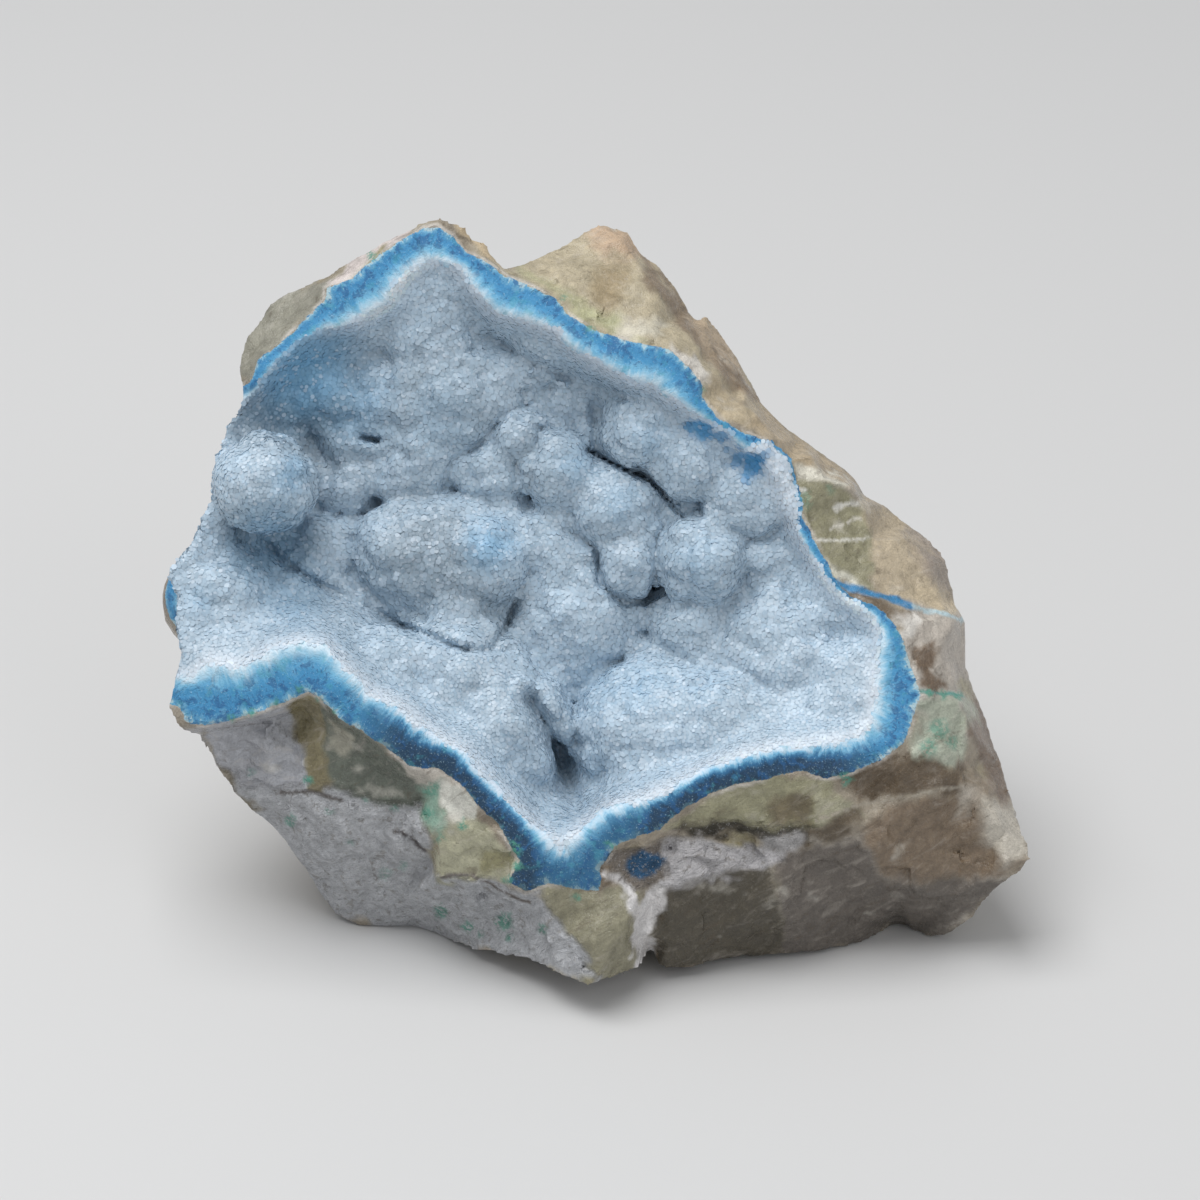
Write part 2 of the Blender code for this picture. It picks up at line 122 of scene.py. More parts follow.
# Broken quartz around the crust: corners and ridges of its faces.
QUARTZ_FRONT = [
    # upper right shoulder and its peak
    (545, 284, -1.4), (600, 300, -3.0), (640, 300, -4.0), (600, 262, -6.5), (622, 242, -8.2),
    (580, 252, -7.0), (655, 333, -1.0), (680, 347, -1.0), (640, 266, -7.2), (660, 292, -5.8),
    (685, 327, -4.0), (700, 347, -3.2), (720, 372, -2.8), (745, 402, -2.8), (765, 426, -2.6),
    (705, 332, -6.6), (716, 352, -6.0), (732, 368, -6.5), (742, 388, -6.0), (730, 416, -0.8),
    # right slope
    (782, 442, -2.6), (812, 457, -4.2), (840, 476, -6.2), (826, 481, -3.0), (850, 487, -4.6),
    (863, 503, -6.0), (870, 540, -5.0), (850, 582, -2.4), (882, 592, -3.0), (892, 562, -4.8),
    (915, 602, -3.6), (930, 564, -7.8), (905, 538, -7.8), (940, 602, -6.2),
    # right block
    (903, 618, -1.4), (922, 662, -1.0), (930, 692, -0.6), (953, 622, -4.8), (958, 690, -4.2),
    (940, 650, -2.6), (930, 708, 0.2), (960, 704, -1.6), (976, 738, -2.8), (942, 748, 0.4),
    (916, 750, 1.4), (985, 788, -1.8), (1004, 834, -1.4), (960, 786, -0.2), (900, 804, 1.4),
    (862, 828, 1.2), (850, 786, 2.0), (900, 768, 1.6), (950, 768, 0.2), (880, 790, 0.4),
    (880, 874, -0.8), (1008, 862, -0.8), (950, 900, -4.2), (900, 900, -5.2), (840, 900, -3.4),
    (870, 924, -8.4),
    # lower right faces
    (820, 800, 2.8), (816, 824, 2.6), (740, 824, 2.9), (676, 830, 3.6), (680, 838, 2.4),
    (740, 834, 1.4), (800, 836, 1.6), (730, 866, 1.8), (790, 852, 1.2), (664, 888, 3.0),
    (770, 872, 0.8), (782, 902, 0.0), (720, 930, -1.2), (668, 942, -0.4),
    # groove and the yellowish chunk at the bottom
    (628, 858, 3.0), (646, 872, 2.6), (652, 904, 1.2), (642, 932, 1.6), (612, 884, 4.0),
    (546, 894, 4.4), (600, 904, 4.8), (592, 942, 5.4), (562, 934, 3.6), (622, 932, 5.0),
    (634, 904, 4.2), (602, 966, 5.0),
    # lower left: blocks beside the crust and the chalky face under them
    (444, 786, 4.0), (470, 802, 4.6), (446, 816, 3.4), (438, 836, 3.0), (476, 832, 4.0),
    (514, 852, 4.4), (502, 882, 3.0), (466, 882, 2.0), (438, 876, 1.6), (300, 712, -0.2),
    (262, 724, -0.4), (230, 732, -0.6), (330, 732, 1.2), (362, 760, 1.0), (400, 784, 1.4),
    (280, 786, -2.0), (332, 796, -0.2), (252, 788, -3.8), (302, 832, -4.4), (350, 820, -1.0),
    (392, 806, 0.4), (382, 860, -4.0), (342, 880, -7.4), (400, 900, -8.0), (430, 868, -2.4),
    (440, 914, -7.0), (482, 890, -0.4), (482, 922, -4.0), (520, 904, 1.4), (512, 932, -1.6),
    (540, 942, 0.4),
    # upper left
    (256, 348, -4.4), (266, 332, -4.4), (290, 312, -4.0), (312, 298, -3.4), (345, 272, -2.4),
    (375, 256, -1.9), (480, 250, -1.6),
]
# Floor of the vug under the knobs.
VUG_FLOOR = [
    (437, 300, -5.0), (400, 330, -6.5), (350, 350, -5.8), (300, 375, -6.0), (272, 402, -5.5),
    (480, 340, -7.5), (540, 372, -7.5), (600, 402, -8.0), (645, 420, -6.5), (350, 450, -10.0),
    (450, 450, -12.0), (560, 450, -12.0), (605, 450, -13.5), (650, 492, -13.5), (675, 516, -13.5),
    (740, 470, -6.0), (350, 560, -10.0), (300, 540, -9.0), (440, 640, -10.5), (480, 656, -11.5),
    (540, 600, -12.0), (600, 600, -12.0), (655, 620, -12.0), (720, 600, -10.0), (780, 560, -7.0),
    (800, 620, -7.5), (845, 640, -4.0), (700, 668, -10.0), (620, 660, -11.0), (560, 690, -12.0),
    (555, 730, -12.5), (572, 790, -10.5), (568, 762, -12.5), (520, 700, -7.0), (450, 702, -2.5),
    (400, 664, -3.5), (700, 740, -5.0), (800, 700, -2.5), (640, 775, 0.0), (500, 760, 0.5),
    (545, 805, -3.0), (590, 810, -1.0), (240, 560, -5.0), (250, 620, -1.5), (205, 600, -1.0),
    (220, 540, -3.5), (250, 460, -6.0), (245, 425, -5.0), (300, 600, -4.0), (350, 625, -3.0),
    (840, 700, -0.5), (300, 470, -9.0),
]
# Hidden back of the block: broken quartz faces.
BACK = [
    (330, 770, -30), (420, 760, -42), (520, 745, -44), (640, 742, -45), (760, 748, -44),
    (860, 770, -39), (930, 780, -28), (380, 640, -33), (500, 600, -37), (640, 590, -39),
    (780, 610, -38), (870, 640, -33), (300, 640, -24), (240, 680, -14), (930, 660, -24),
    (400, 500, -27), (520, 470, -31), (660, 460, -33), (780, 500, -31), (860, 560, -27),
    (320, 480, -19), (250, 560, -13), (450, 370, -21), (560, 340, -25), (660, 370, -26),
    (740, 430, -25), (340, 370, -14), (440, 290, -12), (540, 290, -15), (610, 270, -17),
    (680, 340, -18), (290, 330, -10), (960, 720, -19), (990, 800, -13), (240, 740, -9),
    (290, 810, -16), (350, 880, -23), (980, 850, -11), (930, 880, -23), (460, 880, -25),
    (600, 880, -25), (740, 880, -25), (860, 880, -25), (600, 930, -14), (740, 930, -14),
    (420, 820, -33), (600, 820, -33), (800, 820, -33), (236, 470, -12), (204, 600, -11),
    (208, 670, -9), (256, 420, -10), (262, 370, -9),
]
# Knobs of the lining: (right, down, out of the highest point, radius mm).
KNOBS = [
    (265, 483, 3.2, 5.1),
    (450, 395, -3.0, 8.5), (392, 402, -4.6, 6.5), (500, 380, -4.4, 5.2), (420, 446, -4.6, 5.6),
    (330, 395, -5.0, 5.0), (437, 300, -2.2, 4.8), (430, 335, -3.2, 5.6), (545, 345, -2.6, 3.4),
    (570, 395, -6.2, 4.6), (520, 435, -4.0, 3.2), (557, 470, -3.4, 4.3), (490, 470, -4.8, 4.0),
    (640, 430, -1.8, 4.0), (690, 460, -2.0, 4.4), (745, 500, -2.2, 5.0), (615, 505, -3.3, 4.9),
    (632, 562, -3.8, 3.7), (703, 560, -1.6, 4.6), (440, 560, -3.2, 8.0), (400, 550, -3.6, 5.0),
    (482, 560, -3.1, 5.6), (455, 615, -4.0, 5.4), (350, 440, -6.0, 3.8), (345, 482, -6.6, 4.0),
    (410, 472, -5.6, 4.2), (575, 615, -5.2, 9.0), (700, 630, -4.8, 6.0), (655, 735, -0.6, 8.6),
    (790, 660, -1.8, 11.0), (770, 560, -4.4, 4.6), (822, 605, -3.2, 4.0), (450, 690, -0.4, 9.5),
    (500, 735, 0.6, 7.6), (555, 682, -7.6, 3.8), (218, 600, -0.4, 5.6), (330, 548, -6.4, 4.6),
    (300, 575, -5.2, 4.4), (720, 730, 0.2, 7.8), (850, 690, 0.2, 5.5), (385, 668, 0.2, 4.2),
    (560, 568, -5.6, 6.6), (545, 540, -5.2, 4.6), (622, 474, -6.4, 3.4), (655, 498, -6.0, 3.2),
    (690, 516, -5.6, 3.4), (505, 514, -6.2, 3.0), (597, 440, -6.6, 3.0), (664, 545, -5.4, 2.6),
]



# ---------------------------------------------------------------- helpers on the plan
def face_frame(right, down, out):
    """Plan coordinates to the face frame in mm: along X, up the leaning face, out of it."""
    grow = (EYE - out) / EYE / 10.0
    return (right - MID) * grow, -(down - MID) * grow, out


def to_world(right, down, out):
    """Plan coordinates to the standing block, mm."""
    a, b, c = face_frame(right, down, out)
    s, k = math.sin(LEAN), math.cos(LEAN)
    return np.stack([a + SHIFT_X, b * s - c * k + SHIFT_Y, LIFT + b * k + c * s], axis=-1)


def stretch(inner, loops, uu, vv):
    """Height of a sheet stretched over the outline and the inner points, on the plan grid."""
    plan = [Vector((p[0], p[1])) for p in OUTLINE] + [Vector((p[0], p[1])) for p in inner]
    outs = [p[2] for p in OUTLINE] + [p[2] for p in inner]
    n = len(OUTLINE)
    edges = []
    for start, length in loops:
        edges += [(n + start + k, n + start + k + 1) for k in range(length - 1)]
    co, _, tris, from_v, _, _ = delaunay_2d_cdt(plan, edges, [list(range(n))], 1, 1e-6)
    height = []
    for k, p in enumerate(co):
        if from_v[k]:
            height.append(outs[from_v[k][0]])
        else:
            near = sorted(range(len(plan)), key=lambda i: (plan[i][0] - p[0]) ** 2 + (plan[i][1] - p[1]) ** 2)[:2]
            height.append(sum(outs[i] for i in near) / 2)
    h = np.full((len(uu), len(vv)), np.nan, np.float64)
    for tri in tris:
        (x0, y0), (x1, y1), (x2, y2) = [co[i] for i in tri]
        z0, z1, z2 = [height[i] for i in tri]
        i0, i1 = np.searchsorted(uu, [min(x0, x1, x2) - 1e-6, max(x0, x1, x2) + 1e-6])
        j0, j1 = np.searchsorted(vv, [min(y0, y1, y2) - 1e-6, max(y0, y1, y2) + 1e-6])
        if i1 <= i0 or j1 <= j0:
            continue
        x, y = np.meshgrid(uu[i0:i1], vv[j0:j1], indexing="ij")
        d = (x1 - x0) * (y2 - y0) - (x2 - x0) * (y1 - y0)
        if abs(d) < 1e-9:
            continue
        w1 = ((x - x0) * (y2 - y0) - (x2 - x0) * (y - y0)) / d
        w2 = ((x1 - x0) * (y - y0) - (x - x0) * (y1 - y0)) / d
        inside = (w1 >= -1e-7) & (w2 >= -1e-7) & (w1 + w2 <= 1 + 1e-7)
        z = z0 + w1 * (z1 - z0) + w2 * (z2 - z0)
        part = h[i0:i1, j0:j1]
        part[inside] = z[inside]
    return h


def polygon_distance(poly, x, y):
    """Signed distance in mm to a closed polygon on the plan, negative inside."""
    pts = np.array([(p[0], p[1]) for p in poly], float)
    best = np.full(x.shape, 1e9)
    odd = np.zeros(x.shape, bool)
    for (ax, ay), (bx, by) in zip(pts, np.roll(pts, -1, axis=0)):
        ex, ey = bx - ax, by - ay
        t = np.clip(((x - ax) * ex + (y - ay) * ey) / max(ex * ex + ey * ey, 1e-9), 0, 1)
        best = np.minimum(best, (x - ax - t * ex) ** 2 + (y - ay - t * ey) ** 2)
        if ay != by:
            odd ^= ((ay > y) != (by > y)) & (x < (y - ay) * ex / (by - ay) + ax)
    return np.where(odd, -1, 1) * np.sqrt(best) / 10.0


def along(line, x, y):
    """Length along a line to the nearest point of it, and the distance to it, in mm."""
    pts = np.array([(p[0], p[1]) for p in line], float)
    best = np.full(x.shape, 1e18)
    where = np.zeros(x.shape)
    run = 0.0
    for (ax, ay), (bx, by) in zip(pts[:-1], pts[1:]):
        ex, ey = bx - ax, by - ay
        size = math.hypot(ex, ey)
        t = np.clip(((x - ax) * ex + (y - ay) * ey) / max(size * size, 1e-9), 0, 1)
        d = (x - ax - t * ex) ** 2 + (y - ay - t * ey) ** 2
        closer = d < best
        best = np.where(closer, d, best)
        where = np.where(closer, run + t * size, where)
        run += size
    return where / 10.0, np.sqrt(best) / 10.0


def smoothstep(lo, hi, x):
    t = np.clip((x - lo) / (hi - lo), 0, 1)
    return t * t * (3 - 2 * t)


def blur2(a, sigma):
    """Gaussian blur of a plan grid."""
    r = int(math.ceil(sigma * 3))
    k = np.exp(-0.5 * (np.arange(-r, r + 1) / sigma) ** 2)
    k /= k.sum()
    p = np.pad(a, ((r, r), (0, 0)), mode="edge")
    a = sum(k[i] * p[i:i + a.shape[0]] for i in range(2 * r + 1))
    p = np.pad(a, ((0, 0), (r, r)), mode="edge")
    return sum(k[i] * p[:, i:i + a.shape[1]] for i in range(2 * r + 1))


def hashed(i, j, k, seed):
    """Repeatable noise in 0..1 for whole-number places."""
    h = i.astype(np.int64) * 73856093 ^ j.astype(np.int64) * 19349663 ^ k.astype(np.int64) * 83492791 ^ (seed * 6542989 + 1013)
    h &= 0xFFFFFFFF
    h = ((h ^ (h >> 15)) * 0x2C1B3C6D) & 0xFFFFFFFF
    h = ((h ^ (h >> 12)) * 0x297A2D39) & 0xFFFFFFFF
    h ^= h >> 15
    return (h & 0xFFFFFF).astype(np.float32) / np.float32(0xFFFFFF)


def soft_noise(p, size, seed):
    """Smooth noise, -1..1, with features of the given size in mm."""
    q = p / size
    f = np.floor(q)
    t = (q - f).astype(np.float32)
    t = t * t * (3 - 2 * t)
    f = f.astype(np.int64)
    out = np.zeros(len(p), np.float32)
    for dx in (0, 1):
        wx = t[:, 0] if dx else 1 - t[:, 0]
        for dy in (0, 1):
            wy = t[:, 1] if dy else 1 - t[:, 1]
            for dz in (0, 1):
                wz = t[:, 2] if dz else 1 - t[:, 2]
                out += wx * wy * wz * hashed(f[:, 0] + dx, f[:, 1] + dy, f[:, 2] + dz, seed)
    return out * 2 - 1


def layered(p, size, seed, octaves=3):
    total, amp, norm = 0.0, 1.0, 0.0
    for o in range(octaves):
        total = total + amp * soft_noise(p, size / 2 ** o, seed + o * 17)
        norm += amp
        amp *= 0.5
    return total / norm


def grains(p, size, seed):
    """Distance to the nearest of scattered seeds (in sizes), and that seed's own place and number."""
    q = p / size
    f = np.floor(q).astype(np.int64)
    best = np.full(len(p), 1e9, np.float32)
    num = np.zeros(len(p), np.float32)
    place = np.zeros((len(p), 3), np.float32)
    for dx in (-1, 0, 1):
        for dy in (-1, 0, 1):
            for dz in (-1, 0, 1):
                i, j, k = f[:, 0] + dx, f[:, 1] + dy, f[:, 2] + dz
                sx = i + 0.15 + 0.7 * hashed(i, j, k, seed)
                sy = j + 0.15 + 0.7 * hashed(i, j, k, seed + 1)
                sz = k + 0.15 + 0.7 * hashed(i, j, k, seed + 2)
                d = (q[:, 0] - sx) ** 2 + (q[:, 1] - sy) ** 2 + (q[:, 2] - sz) ** 2
                closer = d < best
                best = np.where(closer, d, best).astype(np.float32)
                num = np.where(closer, hashed(i, j, k, seed + 3), num)
                place[closer] = np.stack([sx, sy, sz], -1)[closer]
    return np.sqrt(best), num, place * size


def fracture(p, size, seed, tilt):
    """Broken-stone relief: every cell is a small plane with its own height and tilt, mm for size 1."""
    _, num, mid = grains(p, size, seed)
    key = np.round(mid * 1000).astype(np.int64)
    n = np.stack([hashed(key[:, 0], key[:, 1], key[:, 2], seed + k) for k in (11, 12, 13)], -1) * 2 - 1
    d = (p - mid) / size
    return (num * 2 - 1) * 0.5 + tilt * (d * n).sum(-1)


# ---------------------------------------------------------------- the shape as a field on a plan grid
OUTER_EDGE = CRUST_OUT + [(150, 700), (150, 395), (236, 392)] + CRUST_OUT_LEFT
INNER_EDGE = CRUST_IN + [(150, 676), (150, 410), (236, 405)] + CRUST_IN_LEFT
BARE_RIM = (782, 478, 46)       # stretch of the rim where the crystals run over the crust
# Gaps and creases between the knobs: points on the plan, half width in mm, depth in mm.
CREASES = [
    ([(588, 450), (603, 458), (625, 470), (645, 477), (660, 490), (670, 503), (682, 517)], 0.20, 1.6),
    ([(592, 398), (594, 425), (597, 450)], 0.42, 0.8),
    ([(262, 540), (285, 562), (320, 585), (355, 602), (400, 624), (440, 642), (468, 650)], 0.42, 1.25),
    ([(468, 650), (490, 652), (506, 628), (516, 602)], 0.40, 0.7),
    ([(356, 600), (353, 560), (356, 520), (372, 500), (402, 496), (440, 496), (480, 495), (518, 499), (545, 518), (566, 534), (598, 552)], 0.45, 0.34),
    ([(597, 552), (601, 585), (624, 604), (648, 600), (656, 572)], 0.32, 0.7),
    ([(655, 572), (655, 540), (668, 522)], 0.30, 0.4),
    ([(540, 428), (534, 465), (530, 500)], 0.32, 0.5),
    ([(442, 490), (452, 462), (478, 445), (492, 430), (508, 412), (528, 405)], 0.32, 0.6),
    ([(362, 437), (378, 440)], 0.40, 1.6),
    ([(488, 334), (520, 355), (550, 370), (590, 384), (618, 392)], 0.55, 0.9),
    ([(524, 392), (520, 420)], 0.4, 0.5),
    ([(530, 700), (546, 728), (558, 752), (567, 780), (577, 804)], 0.95, 2.3),
    ([(432, 494), (434, 520), (430, 548)], 0.35, 0.3),
    ([(650, 632), (688, 667), (735, 668), (770, 690)], 0.60, 0.35),
    ([(785, 590), (803, 622), (812, 640)], 0.50, 0.5),
    ([(700, 478), (702, 515)], 0.35, 0.35),
    ([(732, 530), (756, 541), (785, 524)], 0.40, 0.5),
    ([(566, 530), (590, 545), (600, 556)], 0.30, 0.5),
    ([(310, 436), (330, 470), (322, 510), (352, 520)], 0.7, 0.5),
]


# Where the block's skin is crumpled chalky material: outlines on the plan.
CHALKY = [
    [(214, 764), (250, 785), (330, 790), (420, 800), (437, 872), (500, 882), (540, 896), (604, 985), (530, 965), (445, 942), (330, 918), (296, 862), (250, 814)],
    [(186, 728), (300, 694), (314, 792), (250, 788), (212, 768)],
    [(660, 840), (700, 836), (792, 850), (772, 870), (700, 880), (656, 892)],
]
MELT = 0.9                      # how far neighbouring knobs flow together, mm


def zones(right, down):
    """Signed distances of plan places to the crust's outer and inner edges, mm."""
    return polygon_distance(OUTER_EDGE, right, down), polygon_distance(INNER_EDGE, right, down)


def build_field():
    step = GRAIN * 10
    uu = np.arange(152.0, 1046.0, step)
    vv = np.arange(200.0, 1000.0, step)
    cc = np.arange(-47.0, 8.6, GRAIN)
    loops, inner = [], []
    for line in (CRUST_OUT, CRUST_OUT_LEFT, CRUST_IN, CRUST_IN_LEFT):
        loops.append((len(inner), len(line)))
        inner = inner + line
    front = stretch(inner + QUARTZ_FRONT + VUG_FLOOR, loops, uu, vv)
    back = stretch(BACK, [], uu, vv)
    x, y = np.meshgrid(uu, vv, indexing="ij")
    d_line = polygon_distance(OUTLINE, x, y)
    d_out, d_in = zones(x, y)
    outside = np.isnan(front) | np.isnan(back)
    near = np.argmin([(x - p[0]) ** 2 + (y - p[1]) ** 2 for p in OUTLINE], axis=0)
    edge_c = np.array([p[2] for p in OUTLINE])[near]
    front = np.where(outside, edge_c, front)
    back = np.where(outside, edge_c, back)
    # The lining is rounded where the quartz is broken sharp.
    soft = blur2(front, 0.9 / GRAIN)
    very = blur2(front, 1.9 / GRAIN)
    w = smoothstep(0.1, 1.0, -d_in)
    front = front * (1 - w) + w * (soft * (1 - smoothstep(1.0, 3.0, -d_in)) + very * smoothstep(1.0, 3.0, -d_in))
    lip = smoothstep(0.9, 0.0, np.abs(d_in + 0.1)) * 0.5
    front = front * (1 - lip) + soft * lip

    shape = (len(uu), len(vv), len(cc))
    c = cc[None, None, :]
    field = np.maximum(c - front[:, :, None], back[:, :, None] - c).astype(np.float32)
    field = np.where(outside[:, :, None], np.maximum(np.abs(c - front[:, :, None]) * 0.5, d_line[:, :, None]), field).astype(np.float32)

    knob = np.full(shape, 9.0, np.float32)
    for kx, ky, top, r in KNOBS:
        a0, b0, c0 = [float(v) for v in face_frame(np.float64(kx), np.float64(ky), np.float64(top - r))]
        reach = (r + 1.6) * 10 * 1.04
        i0, i1 = np.searchsorted(uu, [kx - reach, kx + reach])
        j0, j1 = np.searchsorted(vv, [ky - reach, ky + reach])
        k0, k1 = np.searchsorted(cc, [c0 - r - 1.6, c0 + r + 1.6])
        g = np.meshgrid(uu[i0:i1], vv[j0:j1], cc[k0:k1], indexing="ij")
        a, b, cz = face_frame(*g)
        d = np.sqrt((a - a0) ** 2 + (b - b0) ** 2 + (cz - c0) ** 2) - r
        part = knob[i0:i1, j0:j1, k0:k1]
        h = np.clip(0.5 + 0.5 * (part - d) / MELT, 0, 1)
        part[...] = part * (1 - h) + d * h - MELT * h * (1 - h)
    lining = (knob < field).astype(bool)
    h = np.clip(0.5 + 0.5 * (field - knob) / 1.5, 0, 1)
    field = (field * (1 - h) + knob * h - 1.5 * h * (1 - h)).astype(np.float32)
    crease = np.zeros_like(x)
    for line, half, deep in CREASES:
        _, d = along(line, x, y)
        crease = np.maximum(crease, deep * np.exp(-(d / half) ** 2))
    field += crease[:, :, None].astype(np.float32) * (c > front[:, :, None] - 9.0)

    # Relief near the surface.
    band = np.argwhere(np.abs(field) < 2.0)
    right, down, out = uu[band[:, 0]], vv[band[:, 1]], cc[band[:, 2]]
    p = np.stack(face_frame(right, down, out), -1).astype(np.float32)
    do, di = d_out[band[:, 0], band[:, 1]], d_in[band[:, 0], band[:, 1]]
    depth = front[band[:, 0], band[:, 1]] - out
    inner_w = smoothstep(0.4, -0.4, di) * smoothstep(2.6, 1.2, depth)
    inner_w = np.maximum(inner_w, lining[band[:, 0], band[:, 1], band[:, 2]])
    crust_w = smoothstep(0.25, -0.25, do) * smoothstep(4.0, 3.0, depth) * (1 - inner_w)
    stone_w = np.clip(1 - inner_w - crust_w, 0, 1)
    relief = np.zeros(len(p))
    thin = 0.3 + 0.7 * smoothstep(0.2, 2.0, -d_line[band[:, 0], band[:, 1]])
    m = stone_w > 0
    q = p[m]
    relief[m] += thin[m] * stone_w[m] * (0.42 * fracture(q, 5.2, 5, 1.3) + 0.17 * fracture(q, 2.0, 41, 1.2) + 0.12 * layered(q, 1.3, 71, 2))
    rough_w = np.zeros(len(p))
    for poly in CHALKY:
        rough_w = np.maximum(rough_w, smoothstep(0.6, -0.6, polygon_distance(poly, right, down)))
    m = rough_w * stone_w > 0
    q = p[m] @ np.array([[0.87, -0.5, 0], [0.5, 0.87, 0], [0, 0, 1.0]], np.float32).T * np.array([0.55, 1.15, 1.0], np.float32)
    fold = 1 - 2 * np.abs(layered(q, 2.4, 161, 3))
    relief[m] += thin[m] * rough_w[m] * stone_w[m] * (0.95 * (fold - 0.6) + 0.26 * layered(q, 0.9, 171, 2))
    m = crust_w > 0
    q = p[m]
    relief[m] += crust_w[m] * (0.20 * layered(q, 1.5, 91, 3) + 0.12 * soft_noise(q, 0.6, 97))
    m = inner_w > 0
    q = p[m]
    velvet = smoothstep(2.4, 0.8, -di[m])
    big, _, _ = grains(q, 3.0, 141)
    small, _, _ = grains(q, 1.25, 151)
    relief[m] += thin[m] * inner_w[m] * (0.42 * layered(q, 3.6, 131, 2) * (1 - 0.5 * velvet) + 0.12 * soft_noise(q, 1.1, 137)
                               + (1 - velvet) * (0.95 * (np.clip(big, 0, 1) ** 2 - 0.3) + 0.42 * (np.clip(small, 0, 1) ** 2 - 0.3)))
    field[band[:, 0], band[:, 1], band[:, 2]] += relief.astype(np.float32)

    # The flat resting face.
    g = np.meshgrid(uu, vv, cc, indexing="ij")
    height = to_world(*g)[..., 2].astype(np.float32)
    field = np.maximum(field, -height)
    return uu, vv, cc, field, front, back


def surface(field):
    """Closed surface of the field's negative side: one vertex a mixed cell, one quad a crossed edge."""
    s = field < 0
    n = np.array(field.shape) - 1
    mixed = np.zeros(n, bool)
    first = s[:-1, :-1, :-1]
    for dx in (0, 1):
        for dy in (0, 1):
            for dz in (0, 1):
                mixed |= s[dx:n[0] + dx, dy:n[1] + dy, dz:n[2] + dz] != first
    cells = np.argwhere(mixed)
    index = np.full(n, -1, np.int64)
    index[mixed] = np.arange(len(cells))
    total = np.zeros((len(cells), 3))
    count = np.zeros(len(cells))
    corner = [(dx, dy, dz) for dx in (0, 1) for dy in (0, 1) for dz in (0, 1)]
    for a in corner:
        for axis in range(3):
            if a[axis]:
                continue
            b = list(a)
            b[axis] = 1
            ia = cells + a
            ib = cells + b
            fa = field[ia[:, 0], ia[:, 1], ia[:, 2]].astype(np.float64)
            fb = field[ib[:, 0], ib[:, 1], ib[:, 2]].astype(np.float64)
            cross = (fa < 0) != (fb < 0)
            t = np.where(cross, fa / np.where(cross, fa - fb, 1), 0)
            point = np.array(a, float) + t[:, None] * np.eye(3)[axis]
            total += point * cross[:, None]
            count += cross
    verts = cells + total / count[:, None]
    quads = []
    for axis in range(3):
        o1, o2 = [k for k in range(3) if k != axis]
        lo = [slice(None)] * 3
        hi = [slice(None)] * 3
        lo[axis], hi[axis] = slice(0, -1), slice(1, None)
        change = s[tuple(lo)] != s[tuple(hi)]
        at = np.argwhere(change)
        at = at[(at[:, o1] > 0) & (at[:, o2] > 0) & (at[:, o1] < n[o1]) & (at[:, o2] < n[o2])]
        inside_first = s[at[:, 0], at[:, 1], at[:, 2]]
        around = []
        for s1, s2 in ((1, 1), (0, 1), (0, 0), (1, 0)):
            q = at.copy()
            q[:, o1] -= s1
            q[:, o2] -= s2
            around.append(index[q[:, 0], q[:, 1], q[:, 2]])
        quad = np.stack(around, 1)
        flip = inside_first if axis != 1 else ~inside_first
        quad[~flip] = quad[~flip][:, ::-1]
        quads.append(quad)
    quads = np.concatenate(quads)
    return verts, quads[(quads >= 0).all(1)]


def mesh_from(name, verts, faces):
    """Mesh from arrays of places in metres and of same-sided faces."""
    mesh = bpy.data.meshes.new(name)
    mesh.vertices.add(len(verts))
    mesh.vertices.foreach_set("co", np.ascontiguousarray(verts, np.float32).ravel())
    sides = faces.shape[1]
    mesh.loops.add(faces.size)
    mesh.loops.foreach_set("vertex_index", np.ascontiguousarray(faces, np.int32).ravel())
    mesh.polygons.add(len(faces))
    mesh.polygons.foreach_set("loop_start", np.arange(0, faces.size, sides, dtype=np.int32))
    mesh.update(calc_edges=True)
    mesh.validate()
    return mesh


def plan_of(world_mm):
    """World places in mm back to plan coordinates."""
    x, y, z = world_mm[:, 0] - SHIFT_X, world_mm[:, 1] - SHIFT_Y, world_mm[:, 2] - LIFT
    s, k = math.sin(LEAN), math.cos(LEAN)
    b = y * s + z * k
    c = -y * k + z * s
    grow = (EYE - c) / EYE / 10.0
    return MID + x / grow, MID - b / grow, c


def sample(grid, uu, vv, right, down):
    """Bilinear reading of a plan grid."""
    i = np.clip((right - uu[0]) / (uu[1] - uu[0]), 0, len(uu) - 1.001)
    j = np.clip((down - vv[0]) / (vv[1] - vv[0]), 0, len(vv) - 1.001)
    i0, j0 = i.astype(int), j.astype(int)
    fi, fj = i - i0, j - j0
    return (grid[i0, j0] * (1 - fi) * (1 - fj) + grid[i0 + 1, j0] * fi * (1 - fj)
            + grid[i0, j0 + 1] * (1 - fi) * fj + grid[i0 + 1, j0 + 1] * fi * fj)


# ---------------------------------------------------------------- what the surface is made of, place by place
def srgb(r, g, b):
    """Colour as seen, 0..255, to the linear value a shader takes."""
    v = np.array([r, g, b], float) / 255.0
    return np.where(v <= 0.04045, v / 12.92, ((v + 0.055) / 1.055) ** 2.4)


